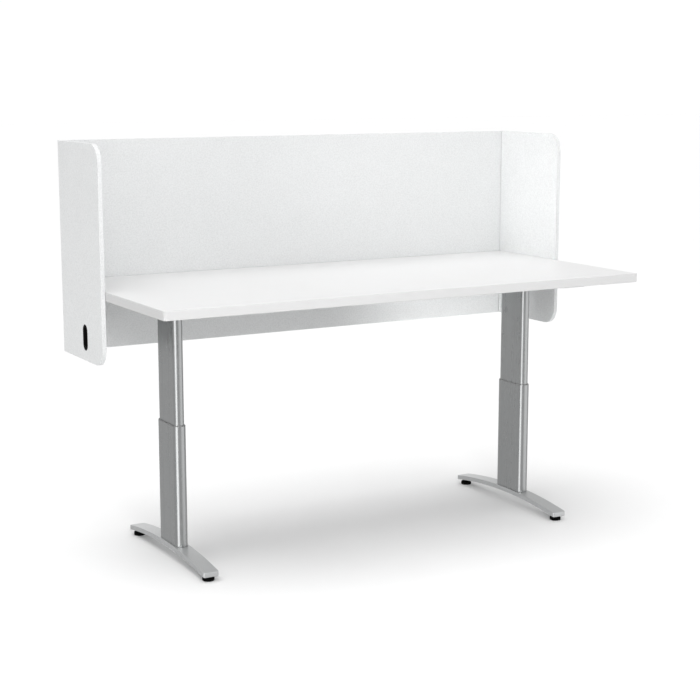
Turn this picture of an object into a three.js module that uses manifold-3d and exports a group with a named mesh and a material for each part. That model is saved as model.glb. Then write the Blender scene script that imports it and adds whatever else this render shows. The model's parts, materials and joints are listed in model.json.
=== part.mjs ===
// A study carrel: a crank-driven, height-adjustable desk on two telescopic columns, with one
// folded felt screen standing round its back and both sides.
//
// Millimetres, +Z up. The origin is on the floor, at the centre of the whole footprint.
// The sitter is on the -Y side and faces +Y, so +X is to their right.
// Everything is drawn as the desk stands with its upper face at DESK_HEIGHT.

import * as THREE from 'three';
import { mergeVertices } from 'three/addons/utils/BufferGeometryUtils.js';
import Module from 'manifold-3d';

const wasm = await Module();
wasm.setup();

// ---- Driving dimensions ----------------------------------------------------------------

// Clearance between pieces that touch, and between a turning piece and its seat.
const GAP = 0.3;
// How far a cutting shape runs past the faces it cuts.
const PAST = 1;
// Corners closer than this are one corner.
const MERGE_DISTANCE = 0.001;
// Straight sides in each eighth of a circle, for small bends, ordinary corners, the wings'
// large corners and the arch of a foot.
const BEND_STEPS = 2;
const CURVE_STEPS = 3;
const WING_STEPS = 5;
const ARCH_STEPS = 8;
// Straight sides right round a screw hole, a stud, a round bar, a tube and a pad.
const HOLE_SIDES = 8;
const STUD_SIDES = 12;
const BAR_SIDES = 16;
const TUBE_SIDES = 20;
const PAD_SIDES = 24;

// Desktop board.
const DESK_LENGTH = 1500;
const DESK_DEPTH = 700;
const DESK_THICKNESS = 25;
const DESK_HEIGHT = 758;
const DESK_CORNER = 8;
const DESK_EDGE_ROUND = 2;

// Felt screen.
const FELT = 12;
const SCREEN_CLEARANCE = 0.5;
const SCREEN_TOP = 1151;
const SCREEN_HEIGHT = 599;
const WING_RETURN = 302;
const WING_CORNER = 50;
const FOLD_RADIUS = 9;

// Cable port through the left wing: an obround grommet, its flange sunk flush in the felt.
const PORT_WIDTH = 36;
const PORT_HEIGHT = 73;
const PORT_SETBACK = 130;
const PORT_Z = 617;
const PORT_FLANGE = 4;
const PORT_FLANGE_DEPTH = 1.6;
const PORT_WALL = 4;

// Legs: where the column axis stands.
const LEG_X = 578;
const LEG_FROM_DESK_CENTRE = 19;

// Feet: arched bars on four levelling pads.
const FOOT_LENGTH = 523;
const FOOT_WIDTH = 45;
const FOOT_THICKNESS = 14;
const FOOT_CROWN = 49;
const FOOT_RISE = 21.5;
const FOOT_REARWARD = 15;
const FOOT_CORNER = 5.5;
const FOOT_EDGE = 1.2;
const PAD_INSET = 20.5;
const PAD_RADIUS = 16.5;
const PAD_HEIGHT = 13;
const PAD_FOOT_CHAMFER = 1;
const PAD_SHOULDER = 1.5;
const PAD_BOSS_WALL = 4;
const STUD_RADIUS = 4;
const STUD_TOP = 26.8;
const STUD_BOTTOM = 4.3;
const STUD_CHAMFER = 0.6;
const BOLT_RADIUS = 4;
const BOLT_HEAD_RADIUS = 6.5;
const BOLT_HEAD = 5;
const BOLT_SEAT = 41;
const BOLT_SOCKET = 6;

// Telescopic columns: an outer and an inner aluminium extrusion with rounded noses.
const LOWER_LENGTH = 130;
const LOWER_WIDTH = 37;
const LOWER_NOSE = 17.5;
const LOWER_TOP = 388;
const UPPER_LENGTH = 122;
const UPPER_WIDTH = 30;
const UPPER_NOSE = 14;
const UPPER_BOTTOM = 172;
const COLUMN_WALL = 2.2;
const GROOVE_FROM_CENTRE = 21;
const GROOVE_MOUTH = 5;
const GROOVE_FLOOR = 1.2;
const GROOVE_DEPTH = 0.4;
const SCREW_PORT_RADIUS = 2.1;
const SCREW_BOSS_RADIUS = 4.6;
const SCREW_BOSS_BITE = 1;
const COLLAR_LIP_INSET = 0.6;
const COLLAR_LIP = 1.5;
const COLLAR_SLEEVE = 38;
const SLIDER_FLANGE = 5;
const SLIDER_PLUG = 14;
const SLIDER_POCKET_Y = 31;
const SLIDER_POCKET = 22;

// Lift drive: a screw in each column, turned through bevel gears by one cross shaft.
const SCREW_RADIUS = 6;
const SCREW_JOURNAL = 5;
const SCREW_NECK = 3.5;
const SCREW_CHAMFER = 1;
const NUT_TOP = 303;
const NUT_SEAT = 285;
const NUT_BOTTOM = 270;
const TUBE_RADIUS = 11;
const TUBE_BORE = 8.5;
const BASE_PLATE = 6;
const BASE_BOLT_SPACING = 80;
const SHAFT_ACROSS_FLATS = 7;
const SHAFT_ABOVE_WEB = 20.8;
const SHAFT_END_X = 728;
const GEAR_TEETH = 16;
const GEAR_PITCH_RADIUS = 11;
const GEAR_ADDENDUM = 1.1;
const GEAR_DEDENDUM = 1.5;
const GEAR_FACE = 4;
const GEAR_TOOTH = 1.5;
const GEAR_FLANK = THREE.MathUtils.degToRad(20);
const PINION_HUB = 6;
const PINION_HUB_RADIUS = 8;
const BEARING_RADIUS = 9;
const BEARING_GROOVE = 0.7;
const GEARBOX_X = 24;
const GEARBOX_Y = 22;
const GEARBOX_HEIGHT = 34;
const GEARBOX_FLOOR = 3.5;
const GEARBOX_LID = 2.6;
const GEARBOX_LID_CORNER = 2;
const EAR_THICKNESS = 5.5;
const EAR_HALF = 9;
const EAR_REACH = 38;
const EAR_HOLE = 2.8;
const EAR_HOLE_Y = 30;
const SHAFT_HOLE = 5.2;
const SHAFT_OVERHANG = 8;
const SOCKET_RADIUS = 7;
const SOCKET_LENGTH = 30;
const SOCKET_MOUTH = 12;
const HANGER_X = 690;
const HANGER_THICKNESS = 12;
const HANGER_HALF_WIDTH = 11;
const HANGER_FLANGE = 44;
const HANGER_FLANGE_CORNER = 3;
const HANGER_HOLE_SPACING = 29.4;

// Desk frame: a pressed arm on each column, and two cross rails between the arms.
const STEEL = 3;
const ARM_INNER_WIDTH = 52;
const ARM_LIP = 20;
const ARM_FRONT = -300;
const ARM_REAR = 280;
const ARM_FULL_FRONT = -100;
const ARM_FULL_REAR = 100;
const ARM_DEPTH = 42;
const ARM_END_DEPTH = 12;
const RAIL_FROM_COLUMN = 78;
const RAIL_WIDTH = 20;
const RAIL_HEIGHT = 30;
const RAIL_WALL = 2;
const RAIL_IN_ARM = 20;
const LIP_HOLE_Y = 120;
const BRACKET_WIDTH = 50;
const BRACKET_REACH = 40;
const BRACKET_DROP = 48;
const BRACKET_HOLE_SPACING = 33.4;
const BRACKET_DESK_HOLE = 24;
const BRACKET_FELT_HOLE = 33.6;
const BACK_BRACKET_X = 450;
const WING_BRACKET_SETBACK = 150;

// ---- Derived positions -----------------------------------------------------------------

const DESK_Y = -(FELT + SCREEN_CLEARANCE) / 2;
const DESK_UNDERSIDE = DESK_HEIGHT - DESK_THICKNESS;
const SCREEN_INSIDE_X = DESK_LENGTH / 2 + SCREEN_CLEARANCE;
const SCREEN_INSIDE_Y = DESK_Y + DESK_DEPTH / 2 + SCREEN_CLEARANCE;
const SCREEN_OUTSIDE_X = SCREEN_INSIDE_X + FELT;
const SCREEN_OUTSIDE_Y = SCREEN_INSIDE_Y + FELT;
const SCREEN_BOTTOM = SCREEN_TOP - SCREEN_HEIGHT;
const WING_FRONT_Y = SCREEN_INSIDE_Y - WING_RETURN;
const LEG_Y = DESK_Y + LEG_FROM_DESK_CENTRE;
const ARM_TOP = DESK_UNDERSIDE - GAP;
const ARM_WIDTH = ARM_INNER_WIDTH + 2 * STEEL;
const WEB_TOP = ARM_TOP - ARM_DEPTH + STEEL;
const GEARBOX_BOTTOM = WEB_TOP + GAP;
const UPPER_TOP = ARM_TOP - ARM_DEPTH - GAP;
const SHAFT_Z = WEB_TOP + SHAFT_ABOVE_WEB;
const SCREW_PORT_Y = UPPER_LENGTH / 2 - COLUMN_WALL - SCREW_BOSS_RADIUS + SCREW_BOSS_BITE;
const BASE_PLATE_TOP = FOOT_CROWN + GAP + BASE_PLATE;
const GEAR_BACK_Z = SHAFT_Z - GEAR_PITCH_RADIUS;
const BEARING_BOTTOM = GEARBOX_BOTTOM + GEARBOX_FLOOR + GAP;
const RAIL_TOP = WEB_TOP + GAP + RAIL_HEIGHT;
const SIDES = { left: -1, right: 1 };

// ---- Finishes --------------------------------------------------------------------------

const FINISHES = {
  laminate: { color: 0xf6f6f5, roughness: 0.45, metalness: 0 },
  felt: { color: 0xeff1f2, roughness: 0.95, metalness: 0 },
  anodised: { color: 0xb4b7b9, roughness: 0.35, metalness: 0.8 },
  footSilver: { color: 0xa9acae, roughness: 0.45, metalness: 0.6 },
  cast: { color: 0xb0b3b5, roughness: 0.4, metalness: 0.7 },
  steel: { color: 0x9da0a3, roughness: 0.4, metalness: 0.9 },
  painted: { color: 0xc4c6c8, roughness: 0.5, metalness: 0.2 },
  rubber: { color: 0x101010, roughness: 0.8, metalness: 0 },
  blackPlastic: { color: 0x141414, roughness: 0.6, metalness: 0 },
  nylon: { color: 0x4a4b4c, roughness: 0.6, metalness: 0 },
  bronze: { color: 0xa9834a, roughness: 0.4, metalness: 0.9 },
};

// ---- Shapes and solids -----------------------------------------------------------------

const UNIT_X = new THREE.Vector3(1, 0, 0);
const UNIT_Y = new THREE.Vector3(0, 1, 0);
const UNIT_Z = new THREE.Vector3(0, 0, 1);
// Turns an extrusion so that its outline lies in the Y-Z plane and its length runs along X.
const ALONG_X = new THREE.Matrix4().makeBasis(UNIT_Y, UNIT_Z, UNIT_X);

function roundedRectangle(width, height, radius) {
  const x = width / 2 - radius;
  const y = height / 2 - radius;
  const shape = new THREE.Shape();
  shape.absarc(x, y, radius, 0, Math.PI / 2);
  shape.absarc(-x, y, radius, Math.PI / 2, Math.PI);
  shape.absarc(-x, -y, radius, Math.PI, 1.5 * Math.PI);
  shape.absarc(x, -y, radius, 1.5 * Math.PI, 2 * Math.PI);
  shape.closePath();
  return shape;
}

function polygon(points) {
  return new THREE.Shape(points.map(([x, y]) => new THREE.Vector2(x, y)));
}

// A hexagon with a corner at angle `turn` from its own x axis.
function hexagon(acrossFlats, turn = 0) {
  const radius = acrossFlats / Math.sqrt(3);
  const corners = [...Array(6).keys()].map((i) => (i * Math.PI) / 3 + turn);
  return polygon(corners.map((angle) => [radius * Math.cos(angle), radius * Math.sin(angle)]));
}

// Each quarter circle of the outline gets twice `curveSegments` straight sides.
function extrude(shape, depth, curveSegments = CURVE_STEPS) {
  return new THREE.ExtrudeGeometry(shape, { depth, bevelEnabled: false, curveSegments });
}

// A box given by its lowest and highest corners.
function box(low, high) {
  const size = high.map((value, i) => value - low[i]);
  const geometry = new THREE.BoxGeometry(...size);
  return geometry.translate(...low.map((value, i) => value + size[i] / 2));
}

// A round bar along Z from one height to another.
function bar(radius, bottom, top, segments = BAR_SIDES) {
  const geometry = new THREE.CylinderGeometry(radius, radius, top - bottom, segments);
  return geometry.rotateX(Math.PI / 2).translate(0, 0, (top + bottom) / 2);
}

// A solid of revolution about Z, from a closed profile of [radius, z] points.
function turned(profile, segments = BAR_SIDES) {
  const points = profile.map(([radius, z]) => new THREE.Vector2(radius, z));
  return new THREE.LatheGeometry(points, segments).rotateX(Math.PI / 2);
}

function toSolid(geometry) {
  const bare = geometry.clone();
  bare.deleteAttribute('normal');
  bare.deleteAttribute('uv');
  const merged = mergeVertices(bare, MERGE_DISTANCE);
  const vertProperties = merged.attributes.position.array;
  const triVerts = new Uint32Array(merged.index.array);
  return new wasm.Manifold(new wasm.Mesh({ numProp: 3, vertProperties, triVerts }));
}

function toGeometry(solid) {
  const mesh = solid.getMesh();
  const geometry = new THREE.BufferGeometry();
  geometry.setAttribute('position', new THREE.BufferAttribute(mesh.vertProperties, 3));
  geometry.setIndex(new THREE.BufferAttribute(mesh.triVerts, 1));
  geometry.computeVertexNormals();
  return geometry;
}

function join(...geometries) {
  return toGeometry(geometries.map(toSolid).reduce((whole, piece) => whole.add(piece)));
}

function cut(body, ...tools) {
  return toGeometry(tools.map(toSolid).reduce((whole, tool) => whole.subtract(tool), toSolid(body)));
}

function common(...geometries) {
  return toGeometry(geometries.map(toSolid).reduce((whole, piece) => whole.intersect(piece)));
}

function add(parent, name, geometry, finish, position = [0, 0, 0]) {
  const mesh = new THREE.Mesh(geometry, new THREE.MeshStandardMaterial(FINISHES[finish]));
  mesh.name = name;
  mesh.position.set(...position);
  parent.add(mesh);
  return mesh;
}

// ---- Desktop ---------------------------------------------------------------------------

function desktopBoard() {
  const outline = roundedRectangle(DESK_LENGTH, DESK_DEPTH, DESK_CORNER);
  return new THREE.ExtrudeGeometry(outline, {
    depth: DESK_THICKNESS - 2 * DESK_EDGE_ROUND,
    bevelThickness: DESK_EDGE_ROUND,
    bevelSize: DESK_EDGE_ROUND,
    bevelOffset: -DESK_EDGE_ROUND,
    bevelSegments: BEND_STEPS,
    curveSegments: CURVE_STEPS,
  }).translate(0, 0, DESK_EDGE_ROUND);
}

// ---- Felt screen -----------------------------------------------------------------------

// The whole folded sheet, before it is parted along its two fold lines.
function foldedSheet() {
  const straightX = SCREEN_OUTSIDE_X - FOLD_RADIUS;
  const straightY = SCREEN_OUTSIDE_Y - FOLD_RADIUS;
  const plan = new THREE.Shape();
  plan.moveTo(SCREEN_INSIDE_X, WING_FRONT_Y);
  plan.lineTo(SCREEN_OUTSIDE_X, WING_FRONT_Y);
  plan.absarc(straightX, straightY, FOLD_RADIUS, 0, Math.PI / 2);
  plan.absarc(-straightX, straightY, FOLD_RADIUS, Math.PI / 2, Math.PI);
  plan.lineTo(-SCREEN_OUTSIDE_X, WING_FRONT_Y);
  plan.lineTo(-SCREEN_INSIDE_X, WING_FRONT_Y);
  plan.lineTo(-SCREEN_INSIDE_X, SCREEN_INSIDE_Y);
  plan.lineTo(SCREEN_INSIDE_X, SCREEN_INSIDE_Y);
  plan.closePath();
  return extrude(plan, SCREEN_HEIGHT).translate(0, 0, SCREEN_BOTTOM);
}

// Wedge of space behind both folds, bounded by the 45 degree mitre planes.
function mitreSpace(clearance) {
  const inset = SCREEN_INSIDE_X + clearance;
  const reach = 2 * FELT;
  const depth = 4 * FELT;
  const plan = polygon([
    [inset + reach, SCREEN_INSIDE_Y + reach],
    [-inset - reach, SCREEN_INSIDE_Y + reach],
    [-inset + depth, SCREEN_INSIDE_Y - depth],
    [inset - depth, SCREEN_INSIDE_Y - depth],
  ]);
  return extrude(plan, SCREEN_HEIGHT + 2 * PAST).translate(0, 0, SCREEN_BOTTOM - PAST);
}

// Side view of a wing: square at the fold, with large rounded corners at the front.
function wingOutline(side) {
  const back = SCREEN_OUTSIDE_Y + PAST;
  const frontArc = WING_FRONT_Y + WING_CORNER;
  const outline = new THREE.Shape();
  outline.moveTo(back, SCREEN_BOTTOM);
  outline.lineTo(back, SCREEN_TOP);
  outline.absarc(frontArc, SCREEN_TOP - WING_CORNER, WING_CORNER, Math.PI / 2, Math.PI);
  outline.absarc(frontArc, SCREEN_BOTTOM + WING_CORNER, WING_CORNER, Math.PI, 1.5 * Math.PI);
  const start = side < 0 ? -SCREEN_OUTSIDE_X - PAST : SCREEN_INSIDE_X - PAST;
  return extrude(outline, FELT + 2 * PAST, WING_STEPS).applyMatrix4(ALONG_X).translate(start, 0, 0);
}

// An obround bar along X, centred on the cable port, between two depths in from the left face.
function portBar(width, height, from, to) {
  const outline = roundedRectangle(width, height, width / 2);
  const y = WING_FRONT_Y + PORT_SETBACK;
  return extrude(outline, to - from).applyMatrix4(ALONG_X).translate(from - SCREEN_OUTSIDE_X, y, PORT_Z);
}

function portHole() {
  const width = PORT_WIDTH - 2 * PORT_FLANGE + 2 * GAP;
  const height = PORT_HEIGHT - 2 * PORT_FLANGE + 2 * GAP;
  const recess = portBar(PORT_WIDTH + 2 * GAP, PORT_HEIGHT + 2 * GAP, -PAST, PORT_FLANGE_DEPTH + GAP);
  return [recess, portBar(width, height, 0, FELT + PAST)];
}

function portGrommet() {
  const barrelWidth = PORT_WIDTH - 2 * PORT_FLANGE;
  const barrelHeight = PORT_HEIGHT - 2 * PORT_FLANGE;
  const flange = portBar(PORT_WIDTH, PORT_HEIGHT, 0, PORT_FLANGE_DEPTH);
  const barrel = portBar(barrelWidth, barrelHeight, 0, FELT);
  const opening = portBar(barrelWidth - 2 * PORT_WALL, barrelHeight - 2 * PORT_WALL, -PAST, FELT + PAST);
  return cut(join(flange, barrel), opening);
}

// ---- Feet and pads ---------------------------------------------------------------------

const ARCH_HALF = FOOT_LENGTH / 2;
const ARCH_RADIUS = (ARCH_HALF ** 2 + FOOT_RISE ** 2) / (2 * FOOT_RISE);
const ARCH_ANGLE = Math.asin(ARCH_HALF / ARCH_RADIUS);
const PAD_FROM_FOOT_CENTRE = ARCH_HALF - PAD_INSET;

// Side view of the arched foot, centred on its own middle, with its crown raised by `lift`.
function archOutline(lift = 0) {
  const centre = FOOT_CROWN - ARCH_RADIUS + lift;
  const start = Math.PI / 2 - ARCH_ANGLE;
  const end = Math.PI / 2 + ARCH_ANGLE;
  const outline = new THREE.Shape();
  outline.absarc(0, centre, ARCH_RADIUS, start, end);
  outline.absarc(0, centre - FOOT_THICKNESS - lift, ARCH_RADIUS, end, start, true);
  outline.closePath();
  return outline;
}

function footBar() {
  const arch = new THREE.ExtrudeGeometry(archOutline(), {
    depth: FOOT_WIDTH - 2 * FOOT_EDGE,
    bevelThickness: FOOT_EDGE,
    bevelSize: FOOT_EDGE,
    bevelOffset: -FOOT_EDGE,
    bevelSegments: 1,
    curveSegments: ARCH_STEPS,
  }).applyMatrix4(ALONG_X).translate(FOOT_EDGE - FOOT_WIDTH / 2, 0, 0);
  const plan = extrude(
    roundedRectangle(FOOT_WIDTH, FOOT_LENGTH, FOOT_CORNER), 2 * FOOT_CROWN, BEND_STEPS);
  const holes = [-1, 1].flatMap((end) => {
    const boltY = end * BASE_BOLT_SPACING / 2 - FOOT_REARWARD;
    return [
      bar(STUD_RADIUS + GAP, 0, STUD_TOP + GAP).translate(0, end * PAD_FROM_FOOT_CENTRE, 0),
      bar(BOLT_RADIUS + GAP, 0, 2 * FOOT_CROWN).translate(0, boltY, 0),
      bar(BOLT_HEAD_RADIUS + GAP, 0, BOLT_SEAT).translate(0, boltY, 0),
    ];
  });
  return cut(common(arch, plan), ...holes).translate(0, FOOT_REARWARD, 0);
}

// What the foot's arched top takes away from the pieces that stand on it.
function footClearance() {
  return extrude(archOutline(GAP), 2 * FOOT_WIDTH, ARCH_STEPS)
    .applyMatrix4(ALONG_X)
    .translate(-FOOT_WIDTH, FOOT_REARWARD, 0);
}

function levellingPad() {
  return turned([
    [0, 0],
    [PAD_RADIUS - PAD_FOOT_CHAMFER, 0],
    [PAD_RADIUS, PAD_FOOT_CHAMFER],
    [PAD_RADIUS, PAD_HEIGHT - 2 * PAD_SHOULDER],
    [PAD_RADIUS - PAD_SHOULDER, PAD_HEIGHT - PAD_SHOULDER],
    [STUD_RADIUS + PAD_BOSS_WALL, PAD_HEIGHT],
    [STUD_RADIUS + GAP, PAD_HEIGHT],
    [STUD_RADIUS + GAP, STUD_BOTTOM - GAP],
    [0, STUD_BOTTOM - GAP],
  ], PAD_SIDES);
}

function levellingStud() {
  return turned([
    [0, STUD_BOTTOM],
    [STUD_RADIUS - STUD_CHAMFER, STUD_BOTTOM],
    [STUD_RADIUS, STUD_BOTTOM + STUD_CHAMFER],
    [STUD_RADIUS, STUD_TOP - STUD_CHAMFER],
    [STUD_RADIUS - STUD_CHAMFER, STUD_TOP],
    [0, STUD_TOP],
  ], STUD_SIDES);
}

// ---- Columns ---------------------------------------------------------------------------

// Column section: two flat sides joined by rounded noses, with two grooves down each flat.
function columnOutline(length, width, nose, grooved) {
  const side = width / 2;
  const straight = length / 2 - nose;
  const flat = side - nose;
  const outline = new THREE.Shape();
  const grooves = grooved ? [-GROOVE_FROM_CENTRE, GROOVE_FROM_CENTRE] : [];
  outline.moveTo(side, -straight);
  for (const y of grooves) {
    outline.lineTo(side, y - GROOVE_MOUTH / 2);
    outline.lineTo(side - GROOVE_DEPTH, y - GROOVE_FLOOR / 2);
    outline.lineTo(side - GROOVE_DEPTH, y + GROOVE_FLOOR / 2);
    outline.lineTo(side, y + GROOVE_MOUTH / 2);
  }
  outline.absarc(flat, straight, nose, 0, Math.PI / 2);
  outline.absarc(-flat, straight, nose, Math.PI / 2, Math.PI);
  for (const y of grooves) {
    outline.lineTo(-side, -y + GROOVE_MOUTH / 2);
    outline.lineTo(-side + GROOVE_DEPTH, -y + GROOVE_FLOOR / 2);
    outline.lineTo(-side + GROOVE_DEPTH, -y - GROOVE_FLOOR / 2);
    outline.lineTo(-side, -y - GROOVE_MOUTH / 2);
  }
  outline.absarc(-flat, -straight, nose, Math.PI, 1.5 * Math.PI);
  outline.absarc(flat, -straight, nose, 1.5 * Math.PI, 2 * Math.PI);
  outline.closePath();
  return outline;
}

// A plain column-shaped block from one height to another.
function columnBlock(length, width, nose, bottom, top) {
  return extrude(columnOutline(length, width, nose, false), top - bottom).translate(0, 0, bottom);
}

// The hollow of a column, made smaller all round by `inset`.
function columnHollow(length, width, nose, inset, bottom, top) {
  const off = COLUMN_WALL + inset;
  return columnBlock(length - 2 * off, width - 2 * off, nose - off, bottom, top);
}

function lowerColumn() {
  const outline = columnOutline(LOWER_LENGTH, LOWER_WIDTH, LOWER_NOSE, true);
  const bottom = FOOT_CROWN - FOOT_THICKNESS;
  const body = extrude(outline, LOWER_TOP - bottom).translate(0, 0, bottom);
  const hollow = columnHollow(LOWER_LENGTH, LOWER_WIDTH, LOWER_NOSE, 0, bottom - PAST, LOWER_TOP + PAST);
  return cut(body, hollow, footClearance());
}

// Inner extrusion, with a screw port down the inside of each nose.
function upperColumn() {
  const outline = columnOutline(UPPER_LENGTH, UPPER_WIDTH, UPPER_NOSE, true);
  const body = extrude(outline, UPPER_TOP - UPPER_BOTTOM).translate(0, 0, UPPER_BOTTOM);
  const hollow = columnHollow(
    UPPER_LENGTH, UPPER_WIDTH, UPPER_NOSE, 0, UPPER_BOTTOM - PAST, UPPER_TOP + PAST);
  const bosses = [-1, 1].map((end) =>
    bar(SCREW_BOSS_RADIUS, UPPER_BOTTOM, UPPER_TOP).translate(0, end * SCREW_PORT_Y, 0));
  const ports = [-1, 1].map((end) =>
    bar(SCREW_PORT_RADIUS, UPPER_BOTTOM - PAST, UPPER_TOP + PAST, HOLE_SIDES)
      .translate(0, end * SCREW_PORT_Y, 0));
  return cut(join(cut(body, hollow), ...bosses), ...ports);
}

// Glide collar: a thin sleeve between the two extrusions, with a lip on the outer one's end.
function glideCollar() {
  const lip = columnBlock(
    LOWER_LENGTH - 2 * COLLAR_LIP_INSET, LOWER_WIDTH - 2 * COLLAR_LIP_INSET,
    LOWER_NOSE - COLLAR_LIP_INSET, LOWER_TOP + GAP, LOWER_TOP + GAP + COLLAR_LIP);
  const sleeve = columnHollow(
    LOWER_LENGTH, LOWER_WIDTH, LOWER_NOSE, GAP, LOWER_TOP - COLLAR_SLEEVE, LOWER_TOP + GAP + COLLAR_LIP);
  const bore = columnBlock(
    UPPER_LENGTH + 2 * GAP, UPPER_WIDTH + 2 * GAP, UPPER_NOSE + GAP,
    LOWER_TOP - COLLAR_SLEEVE - PAST, LOWER_TOP + GAP + COLLAR_LIP + PAST);
  return cut(join(lip, sleeve), bore);
}

// Bottom slider: a plug in the inner extrusion whose flange runs down the outer one's hollow.
function bottomSlider() {
  const flangeTop = UPPER_BOTTOM - GAP;
  const flange = columnHollow(
    LOWER_LENGTH, LOWER_WIDTH, LOWER_NOSE, GAP, flangeTop - SLIDER_FLANGE, flangeTop);
  const plugLength = UPPER_LENGTH - 2 * (UPPER_NOSE + GAP);
  const plugWidth = UPPER_WIDTH - 2 * COLUMN_WALL - 2 * GAP;
  const plug = box(
    [-plugWidth / 2, -plugLength / 2, flangeTop - SLIDER_FLANGE],
    [plugWidth / 2, plugLength / 2, flangeTop + SLIDER_PLUG]);
  const bore = bar(
    TUBE_RADIUS + 2 * GAP, flangeTop - SLIDER_FLANGE - PAST, flangeTop + SLIDER_PLUG + PAST,
    TUBE_SIDES);
  const pockets = [-1, 1].map((end) => box(
    [-plugWidth / 2 + STEEL, end * SLIDER_POCKET_Y - SLIDER_POCKET / 2, flangeTop],
    [plugWidth / 2 - STEEL, end * SLIDER_POCKET_Y + SLIDER_POCKET / 2, flangeTop + SLIDER_PLUG + PAST]));
  return cut(join(flange, plug), bore, ...pockets);
}

// ---- Lift drive ------------------------------------------------------------------------

// Plate inside the foot of the outer extrusion, with a spigot that centres the nut tube.
function basePlate() {
  const blank = columnHollow(
    LOWER_LENGTH, LOWER_WIDTH, LOWER_NOSE, GAP, FOOT_CROWN - BASE_PLATE, BASE_PLATE_TOP);
  const spigot = bar(
    TUBE_BORE - GAP, BASE_PLATE_TOP - PAST, BASE_PLATE_TOP + BASE_PLATE, TUBE_SIDES);
  const holes = [-1, 1].map((end) =>
    bar(BOLT_RADIUS + GAP, 0, BASE_PLATE_TOP + PAST).translate(0, end * BASE_BOLT_SPACING / 2, 0));
  return cut(join(blank, spigot), footClearance(), ...holes);
}

function footBolt() {
  const shank = bar(BOLT_RADIUS, BOLT_SEAT - PAST, BASE_PLATE_TOP - GAP);
  const head = bar(BOLT_HEAD_RADIUS, BOLT_SEAT - GAP - BOLT_HEAD, BOLT_SEAT - GAP);
  const socket = extrude(hexagon(BOLT_SOCKET), BOLT_HEAD / 2 + PAST)
    .translate(0, 0, BOLT_SEAT - GAP - BOLT_HEAD - PAST);
  return cut(join(shank, head), socket);
}

function nutTube() {
  const bottom = BASE_PLATE_TOP + GAP;
  return turned([
    [TUBE_BORE, bottom],
    [TUBE_RADIUS, bottom],
    [TUBE_RADIUS, NUT_SEAT - GAP],
    [TUBE_BORE, NUT_SEAT - GAP],
    [TUBE_BORE, bottom],
  ]);
}

function screwNut() {
  const bore = SCREW_RADIUS + GAP;
  return turned([
    [bore, NUT_BOTTOM],
    [TUBE_BORE - GAP, NUT_BOTTOM],
    [TUBE_BORE - GAP, NUT_SEAT],
    [TUBE_RADIUS, NUT_SEAT],
    [TUBE_RADIUS, NUT_TOP - SCREW_CHAMFER],
    [TUBE_RADIUS - SCREW_CHAMFER, NUT_TOP],
    [bore, NUT_TOP],
    [bore, NUT_BOTTOM],
  ]);
}

// Lift screw: the threaded bar, a bearing journal, and a neck for the bevel gear.
function liftScrew() {
  return turned([
    [0, UPPER_BOTTOM],
    [SCREW_RADIUS - SCREW_CHAMFER, UPPER_BOTTOM],
    [SCREW_RADIUS, UPPER_BOTTOM + SCREW_CHAMFER],
    [SCREW_RADIUS, BEARING_BOTTOM - GAP],
    [SCREW_JOURNAL, BEARING_BOTTOM - GAP],
    [SCREW_JOURNAL, GEAR_BACK_Z - GAP],
    [SCREW_NECK, GEAR_BACK_Z - GAP],
    [SCREW_NECK, GEAR_BACK_Z + GEAR_FACE],
    [0, GEAR_BACK_Z + GEAR_FACE],
  ]);
}

function screwBearing() {
  const top = GEAR_BACK_Z - GAP;
  const groove = (SCREW_JOURNAL + BEARING_RADIUS) / 2;
  return turned([
    [SCREW_JOURNAL + GAP, BEARING_BOTTOM],
    [BEARING_RADIUS, BEARING_BOTTOM],
    [BEARING_RADIUS, top],
    [groove + BEARING_GROOVE, top],
    [groove + BEARING_GROOVE, top - BEARING_GROOVE],
    [groove - BEARING_GROOVE, top - BEARING_GROOVE],
    [groove - BEARING_GROOVE, top],
    [SCREW_JOURNAL + GAP, top],
    [SCREW_JOURNAL + GAP, BEARING_BOTTOM],
  ]);
}

// Straight bevel gear of a right-angle pair. Its back face is at z = 0 and its apex lies one
// pitch radius above, so that every tooth shrinks towards that point.
function bevelGear(phase, bore) {
  const pitch = (2 * Math.PI) / GEAR_TEETH;
  const flank = Math.tan(GEAR_FLANK);
  const tip = GEAR_PITCH_RADIUS + GEAR_ADDENDUM;
  const root = GEAR_PITCH_RADIUS - GEAR_DEDENDUM;
  const tipHalf = (GEAR_TOOTH / 2 - GEAR_ADDENDUM * flank) / tip;
  const rootHalf = (GEAR_TOOTH / 2 + GEAR_DEDENDUM * flank) / root;
  const points = [...Array(GEAR_TEETH).keys()].flatMap((tooth) => {
    const middle = (tooth + phase) * pitch;
    const corners = [[root, -rootHalf], [tip, -tipHalf], [tip, tipHalf], [root, rootHalf]];
    return corners.map(([radius, turn]) =>
      [radius * Math.cos(middle + turn), radius * Math.sin(middle + turn)]);
  });
  const teeth = extrude(polygon(points), GEAR_FACE);
  const position = teeth.attributes.position;
  for (let i = 0; i < position.count; i++) {
    const scale = 1 - position.getZ(i) / GEAR_PITCH_RADIUS;
    position.setXY(i, position.getX(i) * scale, position.getY(i) * scale);
  }
  return cut(teeth, bore);
}

function screwGear() {
  return bevelGear(0, bar(SCREW_NECK + GAP, -PAST, GEAR_FACE + PAST)).translate(0, 0, GEAR_BACK_Z);
}

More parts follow.
